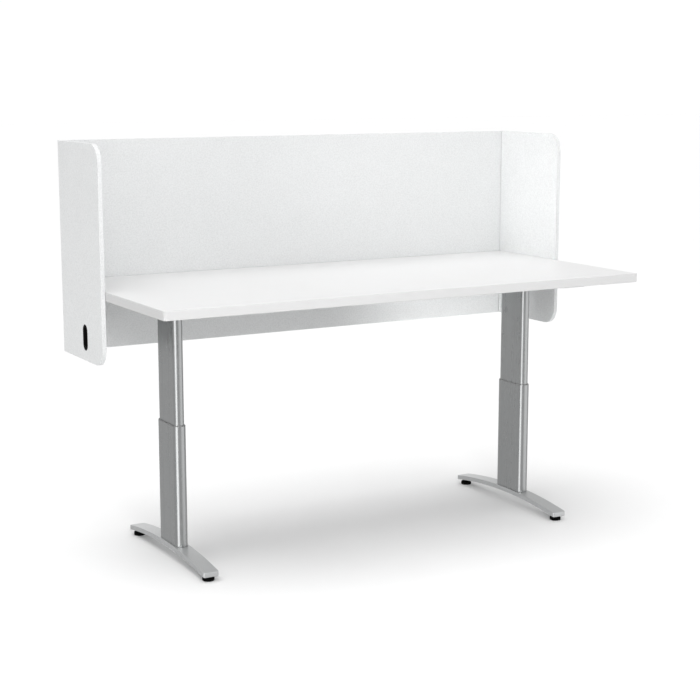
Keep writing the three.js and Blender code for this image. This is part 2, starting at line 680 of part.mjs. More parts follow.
// The pinion's apex points along -X, and a tooth gap faces down to meet the screw's gear.
function shaftPinion() {
  const bore = extrude(hexagon(SHAFT_ACROSS_FLATS + 2 * GAP, Math.PI / 2), 3 * GEAR_PITCH_RADIUS)
    .translate(0, 0, -2 * GEAR_PITCH_RADIUS);
  const teeth = bevelGear(0.5, bore);
  const hub = cut(bar(PINION_HUB_RADIUS, -PINION_HUB, PAST), bore);
  const facing = new THREE.Matrix4().makeBasis(UNIT_Z.clone().negate(), UNIT_Y.clone().negate(),
    UNIT_X.clone().negate());
  return join(teeth, hub).applyMatrix4(facing).translate(GEAR_PITCH_RADIUS, 0, SHAFT_Z);
}

function gearboxHousing() {
  const top = GEARBOX_BOTTOM + GEARBOX_HEIGHT;
  const shell = box(
    [-GEARBOX_X, -GEARBOX_Y, GEARBOX_BOTTOM], [GEARBOX_X, GEARBOX_Y, top]);
  const ears = extrude(roundedRectangle(2 * EAR_HALF, 2 * EAR_REACH, EAR_HALF), EAR_THICKNESS)
    .translate(0, 0, GEARBOX_BOTTOM);
  const cavity = box(
    [-GEARBOX_X + GEARBOX_FLOOR, -GEARBOX_Y + GEARBOX_FLOOR, GEARBOX_BOTTOM + GEARBOX_FLOOR],
    [GEARBOX_X - GEARBOX_FLOOR, GEARBOX_Y - GEARBOX_FLOOR, top + PAST]);
  const screwHole = bar(SCREW_RADIUS + 2 * GAP, GEARBOX_BOTTOM - PAST, SHAFT_Z);
  const shaftHole = bar(SHAFT_HOLE, -2 * GEARBOX_X, 2 * GEARBOX_X)
    .applyMatrix4(ALONG_X).translate(0, 0, SHAFT_Z);
  const earHoles = [-1, 1].map((end) =>
    bar(EAR_HOLE, GEARBOX_BOTTOM - PAST, SHAFT_Z, HOLE_SIDES).translate(0, end * EAR_HOLE_Y, 0));
  return cut(join(shell, ears), cavity, screwHole, shaftHole, ...earHoles);
}

function gearboxLid() {
  const bottom = GEARBOX_BOTTOM + GEARBOX_HEIGHT + GAP;
  const outline = roundedRectangle(2 * GEARBOX_X, 2 * GEARBOX_Y, GEARBOX_LID_CORNER);
  return extrude(outline, GEARBOX_LID, BEND_STEPS).translate(0, 0, bottom);
}

// One hexagonal bar runs through both gearboxes to the crank socket at the right.
function crossShaft() {
  const start = -LEG_X - GEARBOX_X - SHAFT_OVERHANG;
  return extrude(hexagon(SHAFT_ACROSS_FLATS), SHAFT_END_X - start)
    .applyMatrix4(ALONG_X).translate(start, LEG_Y, SHAFT_Z);
}

function crankSocket() {
  const sleeve = bar(SOCKET_RADIUS, -SOCKET_LENGTH, 0, TUBE_SIDES);
  const bore = extrude(hexagon(SHAFT_ACROSS_FLATS + 2 * GAP), SOCKET_LENGTH + 2 * PAST)
    .translate(0, 0, -SOCKET_LENGTH - PAST);
  return cut(sleeve, bore)
    .applyMatrix4(ALONG_X)
    .translate(SHAFT_END_X + SOCKET_MOUTH, LEG_Y, SHAFT_Z);
}

// Block screwed under the desktop that carries the free end of the shaft.
function shaftBearingBlock() {
  const block = box(
    [-HANGER_THICKNESS / 2, -HANGER_HALF_WIDTH, SHAFT_Z - HANGER_HALF_WIDTH],
    [HANGER_THICKNESS / 2, HANGER_HALF_WIDTH, ARM_TOP]);
  const flange = extrude(
    roundedRectangle(HANGER_FLANGE, 2 * HANGER_HALF_WIDTH, HANGER_FLANGE_CORNER), STEEL)
    .translate(0, 0, ARM_TOP - STEEL);
  const hole = bar(SHAFT_HOLE, -HANGER_FLANGE, HANGER_FLANGE)
    .applyMatrix4(ALONG_X).translate(0, 0, SHAFT_Z);
  const screwHoles = [-1, 1].map((end) =>
    bar(EAR_HOLE, ARM_TOP - 2 * STEEL, ARM_TOP + PAST, HOLE_SIDES)
      .translate(end * HANGER_HOLE_SPACING / 2, 0, 0));
  return cut(join(block, flange), hole, ...screwHoles).translate(HANGER_X, LEG_Y, 0);
}

// ---- Desk frame ------------------------------------------------------------------------

// Side view of an arm's pan, drawn in from its outer face by `inset`.
function panOutline(inset) {
  const top = inset > 0 ? ARM_TOP + PAST : ARM_TOP;
  return polygon([
    [ARM_FRONT + inset, top],
    [ARM_FRONT + inset, ARM_TOP - ARM_END_DEPTH + inset],
    [ARM_FULL_FRONT, ARM_TOP - ARM_DEPTH + inset],
    [ARM_FULL_REAR, ARM_TOP - ARM_DEPTH + inset],
    [ARM_REAR - inset, ARM_TOP - ARM_END_DEPTH + inset],
    [ARM_REAR - inset, top],
  ]);
}

// Pressed steel arm: a tapered pan with a lip all round, open towards the desktop.
// `inboard` is +1 where the rails come in from +X and -1 where they come in from -X.
function supportArm(inboard) {
  const pan = extrude(panOutline(0), ARM_WIDTH)
    .applyMatrix4(ALONG_X).translate(-ARM_WIDTH / 2, 0, 0);
  const lipWidth = ARM_WIDTH + 2 * ARM_LIP;
  const middle = (ARM_FRONT + ARM_REAR) / 2;
  const lip = extrude(roundedRectangle(lipWidth, ARM_REAR - ARM_FRONT, ARM_LIP / 2), STEEL, BEND_STEPS)
    .translate(0, middle, ARM_TOP - STEEL);
  const inside = extrude(panOutline(STEEL), ARM_INNER_WIDTH)
    .applyMatrix4(ALONG_X).translate(-ARM_INNER_WIDTH / 2, 0, 0);
  const shaftHole = bar(SHAFT_HOLE, -ARM_WIDTH, ARM_WIDTH)
    .applyMatrix4(ALONG_X).translate(0, 0, SHAFT_Z);
  const screwHole = bar(SCREW_RADIUS + 2 * GAP, 0, SHAFT_Z);
  const boltHoles = [-SCREW_PORT_Y, -EAR_HOLE_Y, EAR_HOLE_Y, SCREW_PORT_Y].map((y) =>
    bar(EAR_HOLE, UPPER_TOP, SHAFT_Z, HOLE_SIDES).translate(0, y, 0));
  const railOpenings = [-1, 1].map((end) => box(
    [inboard > 0 ? 0 : -ARM_WIDTH, end * RAIL_FROM_COLUMN - RAIL_WIDTH / 2 - GAP, WEB_TOP],
    [inboard > 0 ? ARM_WIDTH : 0, end * RAIL_FROM_COLUMN + RAIL_WIDTH / 2 + GAP, RAIL_TOP + GAP]));
  const lipHoles = [ARM_FRONT, -LIP_HOLE_Y, LIP_HOLE_Y, ARM_REAR].flatMap((y) => [-1, 1].map((side) =>
    bar(EAR_HOLE, ARM_TOP - 2 * STEEL, ARM_TOP + PAST, HOLE_SIDES)
      .translate(side * (ARM_WIDTH + ARM_LIP) / 2, y - Math.sign(y) * ARM_LIP, 0)));
  return cut(join(pan, lip), inside, shaftHole, screwHole, ...boltHoles, ...railOpenings, ...lipHoles);
}

// Rectangular tube between the arms, open at both ends, resting on their webs.
function crossRail(end) {
  const half = LEG_X + RAIL_IN_ARM;
  const middle = LEG_Y + end * RAIL_FROM_COLUMN;
  const outside = box(
    [-half, middle - RAIL_WIDTH / 2, RAIL_TOP - RAIL_HEIGHT],
    [half, middle + RAIL_WIDTH / 2, RAIL_TOP]);
  const inside = box(
    [-half - PAST, middle - RAIL_WIDTH / 2 + RAIL_WALL, RAIL_TOP - RAIL_HEIGHT + RAIL_WALL],
    [half + PAST, middle + RAIL_WIDTH / 2 - RAIL_WALL, RAIL_TOP - RAIL_WALL]);
  return cut(outside, inside);
}

// Angle bracket under the desktop's edge. Its upright stands against the felt at y = 0.
function screenBracket() {
  const bend = 2 * STEEL;
  const outline = new THREE.Shape();
  outline.moveTo(0, ARM_TOP - BRACKET_DROP);
  outline.lineTo(0, ARM_TOP - bend);
  outline.absarc(-bend, ARM_TOP - bend, bend, 0, Math.PI / 2);
  outline.lineTo(-BRACKET_REACH, ARM_TOP);
  outline.lineTo(-BRACKET_REACH, ARM_TOP - STEEL);
  outline.lineTo(-bend, ARM_TOP - STEEL);
  outline.absarc(-bend, ARM_TOP - bend, bend - STEEL, Math.PI / 2, 0, true);
  outline.lineTo(-STEEL, ARM_TOP - BRACKET_DROP);
  outline.closePath();
  const angle = extrude(outline, BRACKET_WIDTH, BEND_STEPS)
    .applyMatrix4(ALONG_X).translate(-BRACKET_WIDTH / 2, 0, 0);
  const deskHoles = [-1, 1].map((side) =>
    bar(EAR_HOLE, ARM_TOP - 2 * STEEL, ARM_TOP + PAST, HOLE_SIDES)
      .translate(side * BRACKET_HOLE_SPACING / 2, -BRACKET_DESK_HOLE, 0));
  const feltHoles = [-1, 1].map((side) =>
    bar(EAR_HOLE, -2 * STEEL, PAST, HOLE_SIDES).rotateX(-Math.PI / 2)
      .translate(side * BRACKET_HOLE_SPACING / 2, 0, ARM_TOP - BRACKET_FELT_HOLE));
  return cut(angle, ...deskHoles, ...feltHoles);
}

// ---- Assembly --------------------------------------------------------------------------

const carrel = new THREE.Group();

function addDesktop() {
  add(carrel, 'desktop', desktopBoard(), 'laminate', [0, DESK_Y, DESK_UNDERSIDE]);
}

function addScreen() {
  const sheet = foldedSheet();
  const mitre = GAP / Math.SQRT2;
  add(carrel, 'screen_back_panel', common(sheet, mitreSpace(-mitre)), 'felt');
  const wings = cut(sheet, mitreSpace(mitre));
  add(carrel, 'screen_left_wing', cut(common(wings, wingOutline(-1)), ...portHole()), 'felt');
  add(carrel, 'screen_right_wing', common(wings, wingOutline(1)), 'felt');
  add(carrel, 'cable_port_grommet', portGrommet(), 'blackPlastic');
}

function addScreenBrackets() {
  for (const [side, sign] of Object.entries(SIDES)) {
    const back = add(carrel, `screen_bracket_back_${side}`, screenBracket(), 'painted');
    back.position.set(sign * BACK_BRACKET_X, SCREEN_INSIDE_Y - GAP, 0);
    const wing = add(carrel, `screen_bracket_wing_${side}`, screenBracket(), 'painted');
    wing.position.set(sign * (SCREEN_INSIDE_X - GAP), WING_FRONT_Y + WING_BRACKET_SETBACK, 0);
    wing.rotation.z = -sign * Math.PI / 2;
  }
}

function addFoot(leg, side) {
  add(leg, `foot_${side}`, footBar(), 'footSilver');
  for (const [end, sign] of [['front', -1], ['rear', 1]]) {
    const padY = FOOT_REARWARD + sign * PAD_FROM_FOOT_CENTRE;
    add(leg, `levelling_pad_${side}_${end}`, levellingPad(), 'rubber', [0, padY, 0]);
    add(leg, `levelling_stud_${side}_${end}`, levellingStud(), 'steel', [0, padY, 0]);
    add(leg, `foot_bolt_${side}_${end}`, footBolt(), 'steel', [0, sign * BASE_BOLT_SPACING / 2, 0]);
  }
}

function addColumn(leg, side) {
  add(leg, `base_plate_${side}`, basePlate(), 'steel');
  add(leg, `lower_column_${side}`, lowerColumn(), 'anodised');
  add(leg, `glide_collar_${side}`, glideCollar(), 'nylon');
  add(leg, `nut_tube_${side}`, nutTube(), 'steel');
  add(leg, `screw_nut_${side}`, screwNut(), 'bronze');
  add(leg, `upper_column_${side}`, upperColumn(), 'anodised');
  add(leg, `bottom_slider_${side}`, bottomSlider(), 'nylon');
  add(leg, `lift_screw_${side}`, liftScrew(), 'steel');
}

function addGearbox(leg, side) {
  add(leg, `support_arm_${side}`, supportArm(-SIDES[side]), 'painted');
  add(leg, `gearbox_housing_${side}`, gearboxHousing(), 'cast');
  add(leg, `gearbox_lid_${side}`, gearboxLid(), 'cast');
  add(leg, `screw_bearing_${side}`, screwBearing(), 'steel');
  add(leg, `screw_gear_${side}`, screwGear(), 'steel');
  add(leg, `shaft_pinion_${side}`, shaftPinion(), 'steel');
}

addDesktop();
addScreen();
addScreenBrackets();
for (const [side, sign] of Object.entries(SIDES)) {
  const leg = new THREE.Group();
  leg.position.set(sign * LEG_X, LEG_Y, 0);
  addFoot(leg, side);
  addColumn(leg, side);
  addGearbox(leg, side);
  carrel.add(leg);
}
add(carrel, 'cross_rail_front', crossRail(-1), 'painted');
add(carrel, 'cross_rail_rear', crossRail(1), 'painted');
add(carrel, 'cross_shaft', crossShaft(), 'steel');
add(carrel, 'crank_socket', crankSocket(), 'blackPlastic');
add(carrel, 'shaft_bearing_block', shaftBearingBlock(), 'nylon');

export default carrel;
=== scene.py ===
import json
import math

import bmesh
import bpy
from mathutils import Matrix, Vector
from mathutils.geometry import tessellate_polygon


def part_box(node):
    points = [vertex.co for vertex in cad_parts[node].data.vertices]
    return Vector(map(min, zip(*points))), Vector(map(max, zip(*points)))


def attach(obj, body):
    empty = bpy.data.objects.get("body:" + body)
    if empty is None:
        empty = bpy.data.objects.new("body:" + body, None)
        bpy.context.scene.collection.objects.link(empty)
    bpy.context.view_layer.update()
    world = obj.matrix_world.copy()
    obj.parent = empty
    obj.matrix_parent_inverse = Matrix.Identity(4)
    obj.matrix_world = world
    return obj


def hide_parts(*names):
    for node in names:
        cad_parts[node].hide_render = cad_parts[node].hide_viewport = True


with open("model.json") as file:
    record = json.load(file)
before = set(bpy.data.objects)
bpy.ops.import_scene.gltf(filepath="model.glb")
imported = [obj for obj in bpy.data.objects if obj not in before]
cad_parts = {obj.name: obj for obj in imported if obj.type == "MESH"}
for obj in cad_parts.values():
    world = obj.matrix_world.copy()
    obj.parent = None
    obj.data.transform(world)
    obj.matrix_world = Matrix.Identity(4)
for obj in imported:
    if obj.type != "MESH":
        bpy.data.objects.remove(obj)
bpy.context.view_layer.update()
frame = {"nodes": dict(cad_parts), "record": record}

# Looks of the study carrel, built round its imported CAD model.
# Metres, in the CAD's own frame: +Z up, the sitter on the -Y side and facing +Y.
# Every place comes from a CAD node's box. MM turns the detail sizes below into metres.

MM = 0.001
SIDES = {"left": -1, "right": 1}
ENDS = {"front": -1, "rear": 1}

# Points nearer than this are one point, and a point this near to a cutting plane is on it.
SAME_POINT = 1e-7
ON_PLANE = 1e-6

# ---- Detail sizes -------------------------------------------------------------------------

# Desktop: laminated board inside a moulded edge band.
BAND = 2 * MM
BAND_ROUND = 1.8 * MM
BAND_SEAM = 0.12 * MM
DESK_CORNER = 8 * MM
DESK_STEPS = 10
RIM_STEPS = 4

# Felt screen.
FELT = 12 * MM
FELT_ARRIS = 0.5 * MM
FOLD_RADIUS = 9 * MM
CREASE_MOUTH = 1.3 * MM
CREASE_DEPTH = 2.2 * MM
WING_CORNER = 50 * MM
FELT_GRID = 45 * MM
CORNER_LINES = 12
FOLD_STEPS = 9
ARRIS_STEPS = 4

# Cable port.
PORT_FLANGE = 4 * MM
PORT_FLANGE_DEPTH = 1.6 * MM
PORT_WALL = 4 * MM
PORT_LIP = 1.2 * MM
PORT_CLEARANCE = 0.2 * MM
PORT_RIM_IN = 0.5 * MM
PORT_RIM_DOWN = 0.4 * MM
PORT_STEPS = 12

# Column extrusions.
COLUMN_WALL = 2.2 * MM
LOWER_NOSE = 17.5 * MM
UPPER_NOSE = 14 * MM
GROOVE_FROM_CENTRE = 21 * MM
GROOVE_MOUTH = 5 * MM
GROOVE_FLOOR = 1.2 * MM
GROOVE_DEPTH = 0.34 * MM
GROOVE_ROUND = 0.35 * MM
COLUMN_ARRIS = 0.4 * MM
PORT_BOSS_RADIUS = 4.6 * MM
PORT_BOSS_BITE = 1 * MM
SCREW_PORT_RADIUS = 2.1 * MM
SLIDING_GAP = 0.3 * MM
COLLAR_INSET = 0.6 * MM
COLLAR_LIP = 1.5 * MM
COLLAR_ROUND = 0.6 * MM
NOSE_STEPS = 14
HOLLOW_STEPS = 8

# Feet and pads.
ARCH_RISE = 21.5 * MM
FOOT_THICKNESS = 14 * MM
FOOT_CORNER = 5.5 * MM
FOOT_ARRIS = 1.6 * MM
FOOT_STATION = 12 * MM
BOLT_HEAD_RADIUS = 6.5 * MM
BOLT_SHANK_RADIUS = 4 * MM
BOLT_SEAT = 41 * MM
STUD_RADIUS = 4 * MM
STUD_SEAT = 0.4 * MM
FOOT_STEPS = 6
PAD_HOLLOW = 0.6 * MM
PAD_CHAMFER = 0.5 * MM
PAD_TREAD = 1.6 * MM
PAD_STEPS = 48

# Underframe.
RAIL_WALL = 2 * MM
RAIL_CORNER = 2.5 * MM
RAIL_ARRIS = 0.3 * MM
RAIL_STEPS = 5
STEEL = 3 * MM
SHEET_ARRIS = 0.5 * MM
ARRIS_ABOVE = math.radians(40)
SCREW_HEAD_RADIUS = 4.2 * MM
SCREW_HEAD_HEIGHT = 2.3 * MM
SCREW_SOCKET = 3 * MM
SCREW_SHANK_RADIUS = 2.5 * MM
SCREW_SIDES = 24
SHANK_SIDES = 12
RAIL_SCREW = 2 * STEEL
COLUMN_SCREW = 7 * STEEL
ARM_HOLE_OUT = 39 * MM
ARM_HOLE_FROM_END = 20 * MM
ARM_HOLE_FROM_LEG = 100 * MM
EAR_THICKNESS = 5.5 * MM
EAR_HOLE_Y = 30 * MM
COLUMN_HOLE_Y = 55.2 * MM
BRACKET_HOLE_OUT = 16.7 * MM
BRACKET_DESK_HOLE = 24 * MM
BRACKET_FELT_HOLE = 33.6 * MM
BLOCK_HOLE_OUT = 14.7 * MM

# A screw's dome and its socket's steps, as shares of the radius or width and of the height.
SCREW_DOME = ((1.0, 0.0), (1.0, 0.22), (0.95, 0.55), (0.82, 0.82), (0.62, 0.97))
SOCKET_STEPS = ((1.08, 1.0), (1.0, 0.93), (1.0, 0.3))

# ---- Outlines -----------------------------------------------------------------------------


def arc(centre, radius, start, end, steps):
    """Points along an arc, both ends included. Angles are in degrees."""
    angles = [math.radians(start + (end - start) * i / steps) for i in range(steps + 1)]
    return [(centre[0] + radius * math.cos(a), centre[1] + radius * math.sin(a)) for a in angles]


def rounded_rectangle(width, height, radius, steps, centre):
    """Anticlockwise outline of a rectangle with round corners."""
    x, y = width / 2 - radius, height / 2 - radius
    corners = [(x, y, 0), (-x, y, 90), (-x, -y, 180), (x, -y, 270)]
    return distinct([
        point
        for cx, cy, start in corners
        for point in arc((centre[0] + cx, centre[1] + cy), radius, start, start + 90, steps)
    ])


def distinct(outline):
    """The outline without points that repeat the one before."""
    kept = []
    for point in outline:
        if not kept or math.dist(point, kept[-1]) > SAME_POINT:
            kept.append(point)
    if math.dist(kept[0], kept[-1]) < SAME_POINT:
        kept.pop()
    return kept


def inset(outline, distance):
    """The outline moved to its own left, which is inwards if it runs anticlockwise."""
    moved = []
    for i, point in enumerate(outline):
        before, after = outline[i - 1], outline[(i + 1) % len(outline)]
        first = Vector((before[1] - point[1], point[0] - before[0])).normalized()
        second = Vector((point[1] - after[1], after[0] - point[0])).normalized()
        shift = (first + second) * distance / (1 + first.dot(second))
        moved.append((point[0] + shift.x, point[1] + shift.y))
    return moved


# ---- Closed shells: (points, faces) ---------------------------------------------------------

# Turns for shells drawn flat: which way their own +Z comes to face.
PLACES = {
    "x": Matrix(((0, 0, 1, 0), (1, 0, 0, 0), (0, 1, 0, 0), (0, 0, 0, 1))),
    "z": Matrix.Identity(4),
    "down": Matrix.Rotation(math.pi, 4, "X"),
    "front": Matrix.Rotation(math.pi / 2, 4, "X"),
    "left": Matrix.Rotation(-math.pi / 2, 4, "Y"),
    "right": Matrix.Rotation(math.pi / 2, 4, "Y"),
}


def place(shell, facing, at=(0, 0, 0)):
    """The shell with its own depth turned to face one way, then moved."""
    matrix = Matrix.Translation(at) @ PLACES[facing]
    return [matrix @ Vector(point) for point in shell[0]], shell[1]


def loft(rings, closed=False):
    """Skins rings of equal length, and caps both ends unless the last ring meets the first."""
    count = len(rings[0])
    points = [Vector(point) for ring in rings for point in ring]
    pairs = list(zip(range(len(rings)), range(1, len(rings))))
    if closed:
        pairs.append((len(rings) - 1, 0))
    faces = [
        (a * count + i, a * count + (i + 1) % count, b * count + (i + 1) % count, b * count + i)
        for a, b in pairs
        for i in range(count)
    ]
    if not closed:
        faces.append(tuple(range(count))[::-1])
        faces.append(tuple(range(len(points) - count, len(points))))
    return points, faces


def quarter_round(radius, steps):
    """(pulled in, down) points of a rounded rim, from the flat face to the side."""
    turns = [math.pi / 2 * i / steps for i in range(steps + 1)] if radius else [0]
    return [(radius * (1 - math.sin(a)), radius * (1 - math.cos(a))) for a in turns]


def prism(outlines, low, high, edge=0.0, steps=3):
    """A plate between two heights with rounded rims. Later outlines are holes, and run clockwise."""
    rim = quarter_round(edge, steps)
    levels = [(pulled, low + drop) for pulled, drop in rim]
    levels += [(pulled, high - drop) for pulled, drop in rim[::-1]]
    points, faces = [], []
    for outline in outlines:
        start, count = len(points), len(outline)
        for pulled, z in levels:
            ring = inset(outline, pulled) if pulled else outline
            points += [Vector((u, v, z)) for u, v in ring]
        for level in range(len(levels) - 1):
            a = start + level * count
            faces += [
                (a + i, a + (i + 1) % count, a + count + (i + 1) % count, a + count + i)
                for i in range(count)
            ]
    starts = [0]
    for outline in outlines:
        starts.append(starts[-1] + len(outline) * len(levels))
    for level in (0, len(levels) - 1):
        index = [
            starts[k] + level * len(outline) + i
            for k, outline in enumerate(outlines)
            for i in range(len(outline))
        ]
        flat = [
            [points[starts[k] + level * len(outline) + i] for i in range(len(outline))]
            for k, outline in enumerate(outlines)
        ]
        faces += [tuple(index[i] for i in corner) for corner in tessellate_polygon(flat)]
    return points, faces


def round_ring(radius, z, count):
    """Points evenly round a circle at one height."""
    angles = [2 * math.pi * i / count for i in range(count)]
    return [(radius * math.cos(a), radius * math.sin(a), z) for a in angles]


def lathe(profile, steps=32):
    """A solid of revolution about Z from (radius, z) points that start and end on the axis."""
    return loft([round_ring(radius, z, steps) for radius, z in profile])


def hexagon_ring(across_flats, z, count):
    """Points round a hexagon at the same angles as round_ring's; count is a multiple of 6."""
    ring = []
    for i in range(count):
        a = 2 * math.pi * i / count
        from_flat = (a + math.pi / 6) % (math.pi / 3) - math.pi / 6
        r = across_flats / 2 / math.cos(from_flat)
        ring.append((r * math.cos(a), r * math.sin(a), z))
    return ring


def screw_head():
    """A domed button head on the plane z = 0, with a hexagonal socket in its crown."""
    rings = [
        round_ring(SCREW_HEAD_RADIUS * out, SCREW_HEAD_HEIGHT * up, SCREW_SIDES)
        for out, up in SCREW_DOME
    ]
    rings += [
        hexagon_ring(SCREW_SOCKET * across, SCREW_HEAD_HEIGHT * up, SCREW_SIDES)
        for across, up in SOCKET_STEPS
    ]
    return loft(rings)


def screw(facing, at, length):
    """A button-headed screw that faces one way from `at`, with its shank behind the head."""
    radius = SCREW_SHANK_RADIUS
    shank = lathe([(0, -length), (radius, -length), (radius, 0), (0, 0)], SHANK_SIDES)
    return place(merge([screw_head(), shank]), facing, at)


def merge(shells):
    """Several shells as one, for a piece made of separate solids."""
    points, faces = [], []
    for shell_points, shell_faces in shells:
        start = len(points)
        points += shell_points
        faces += [tuple(start + i for i in face) for face in shell_faces]
    return points, faces


# ---- Materials ------------------------------------------------------------------------------


class Finish:
    """A procedural material, with its Principled shader's constant values given by socket name."""

    def __init__(self, name, **values):
        self.material = bpy.data.materials.new(name)
        self.material.use_nodes = True
        self.tree = self.material.node_tree
        self.shader = self.tree.nodes["Principled BSDF"]
        for socket, value in values.items():
            self.shader.inputs[socket.replace("_", " ")].default_value = value
        self.coordinates = self.tree.nodes.new("ShaderNodeTexCoord").outputs["Object"]

    def link(self, source, socket):
        self.tree.links.new(source, socket)

    def node(self, kind, **settings):
        made = self.tree.nodes.new(kind)
        for name, value in settings.items():
            setattr(made, name, value)
        return made

    def noise(self, scale, detail=3.0, roughness=0.5, stretch=(1, 1, 1), turn=(0, 0, 0)):
        """Noise of about `scale` features per metre, stretched along and turned about the axes."""
        mapping = self.node("ShaderNodeMapping")
        mapping.inputs["Scale"].default_value = stretch
        mapping.inputs["Rotation"].default_value = [math.radians(a) for a in turn]
        self.link(self.coordinates, mapping.inputs["Vector"])
        texture = self.node("ShaderNodeTexNoise")
        texture.inputs["Scale"].default_value = scale
        texture.inputs["Detail"].default_value = detail
        texture.inputs["Roughness"].default_value = roughness
        self.link(mapping.outputs["Vector"], texture.inputs["Vector"])
        return texture.outputs["Fac"]

    def blend(self, first, second, share=0.5):
        mix = self.node("ShaderNodeMix", data_type="FLOAT")
        mix.inputs["Factor"].default_value = share
        self.link(first, mix.inputs["A"])
        self.link(second, mix.inputs["B"])
        return mix.outputs["Result"]

    def spread(self, value, low, high, to_low, to_high):
        """A value mapped from one range to another, and clamped."""
        ranged = self.node("ShaderNodeMapRange")
        ranged.inputs["From Min"].default_value = low
        ranged.inputs["From Max"].default_value = high
        ranged.inputs["To Min"].default_value = to_low
        ranged.inputs["To Max"].default_value = to_high
        self.link(value, ranged.inputs["Value"])
        return ranged.outputs["Result"]

    def colour(self, value, stops):
        """Base colour from a ramp of (position, (r, g, b)) stops."""
        ramp = self.node("ShaderNodeValToRGB")
        elements = ramp.color_ramp.elements
        while len(elements) < len(stops):
            elements.new(0.5)
        for element, (position, tone) in zip(elements, stops):
            element.position = position
            element.color = (*tone, 1)
        self.link(value, ramp.inputs["Fac"])
        self.link(ramp.outputs["Color"], self.shader.inputs["Base Color"])

    def rough(self, value, smoothest, roughest):
        self.link(self.spread(value, 0.3, 0.7, smoothest, roughest), self.shader.inputs["Roughness"])

    def bump(self, height, distance, strength=1.0):
        bump = self.node("ShaderNodeBump")
        bump.inputs["Distance"].default_value = distance
        bump.inputs["Strength"].default_value = strength
        self.link(height, bump.inputs["Height"])
        self.link(bump.outputs["Normal"], self.shader.inputs["Normal"])


def shade(tone, tint=(1, 1, 1)):
    """A linear grey of one brightness, tinted."""
    return tuple(tone * channel for channel in tint)


def felt_finish():
    """Pressed polyester felt: short fibres lying every way, and a soft fleck."""
    felt = Finish("felt", Sheen_Weight=0.1, Sheen_Roughness=0.6, Specular_IOR_Level=0.15)
    fibres = None
    for turn in ((0, 20, 35), (35, -15, 80), (-30, 60, -40)):
        layer = felt.noise(900, 2, 0.6, stretch=(1, 0.16, 1), turn=turn)
        fibres = layer if fibres is None else felt.blend(fibres, layer)
    fleck = felt.noise(230, 3, 0.65)
    cloud = felt.noise(14, 2)
    grain = felt.blend(fibres, fleck, 0.5)
    tone = felt.blend(grain, cloud, 0.06)
    cool = (0.985, 0.997, 1.0)
    felt.colour(tone, [
        (0.36, shade(0.6, cool)),
        (0.5, shade(0.68, cool)),
        (0.64, shade(0.74, cool)),
    ])
    felt.rough(grain, 0.86, 1.0)
    felt.bump(grain, 0.5 * MM, 0.55)
    return felt.material


def laminate_finish(name, tone):
    """White melamine: an even tone with a fine pearl texture."""
    laminate = Finish(name, Specular_IOR_Level=0.42, Coat_Weight=0.06, Coat_Roughness=0.3)
    pearl = laminate.noise(1500, 2, 0.55)
    drift = laminate.noise(6, 3)
    mixed = laminate.blend(pearl, drift, 0.5)
    laminate.colour(mixed, [(0.35, shade(tone * 0.985)), (0.65, shade(tone))])
    laminate.rough(mixed, 0.36, 0.5)
    laminate.bump(pearl, 0.05 * MM, 0.35)
    return laminate.material


def extrusion_finish():
    """Satin anodised aluminium with fine die lines along the extrusion."""
    metal = Finish("anodised", Metallic=0.92)
    lines = metal.noise(1600, 3, 0.6, stretch=(1, 1, 0.006))
    broad = metal.noise(130, 2, 0.5, stretch=(1, 1, 0.02))
    cloud = metal.noise(24, 3)
    tone = metal.blend(metal.blend(lines, broad), cloud, 0.3)
    cool = (0.975, 0.995, 1.0)
    metal.colour(tone, [(0.36, shade(0.335, cool)), (0.64, shade(0.36, cool))])
    metal.rough(tone, 0.24, 0.34)
    metal.bump(lines, 0.02 * MM, 0.04)
    return metal.material


def powder_finish(name, tone, metallic, roughness):
    """Silver powder coat: a fine orange-peel skin with metal flake in it."""
    paint = Finish(name, Metallic=metallic, Coat_Weight=0.12, Coat_Roughness=0.35)
    peel = paint.noise(850, 2, 0.5)
    flake = paint.noise(5200, 1, 0.5)
    drift = paint.noise(18, 3)
    mixed = paint.blend(paint.blend(peel, flake, 0.6), drift, 0.3)
    cool = (0.98, 0.996, 1.0)
    paint.colour(mixed, [(0.34, shade(tone * 0.9, cool)), (0.66, shade(tone * 1.08, cool))])
    paint.rough(mixed, roughness * 0.88, roughness * 1.12)
    paint.bump(peel, 0.06 * MM, 0.5)
    return paint.material


def turned_finish(name, tint, tone, roughness):
    """Machined metal: fine tool marks, and a little uneven staining."""
    metal = Finish(name, Metallic=1.0)
    marks = metal.noise(2600, 2, 0.6, stretch=(0.12, 0.12, 1))
    stain = metal.noise(60, 4, 0.6)
    mixed = metal.blend(marks, stain, 0.45)
    metal.colour(mixed, [(0.32, shade(tone * 0.8, tint)), (0.68, shade(tone * 1.1, tint))])
    metal.rough(mixed, roughness * 0.8, roughness * 1.25)
    metal.bump(marks, 0.03 * MM, 0.4)
    return metal.material


def cast_finish():
    """Die-cast alloy: a coarse, slightly pitted skin."""
    metal = Finish("gearbox", Metallic=0.9)
    skin = metal.noise(620, 4, 0.65)
    cloud = metal.noise(40, 3)
    mixed = metal.blend(skin, cloud, 0.35)
    metal.colour(mixed, [(0.3, shade(0.3)), (0.7, shade(0.44))])
    metal.rough(mixed, 0.42, 0.62)
    metal.bump(skin, 0.12 * MM, 0.6)
    return metal.material


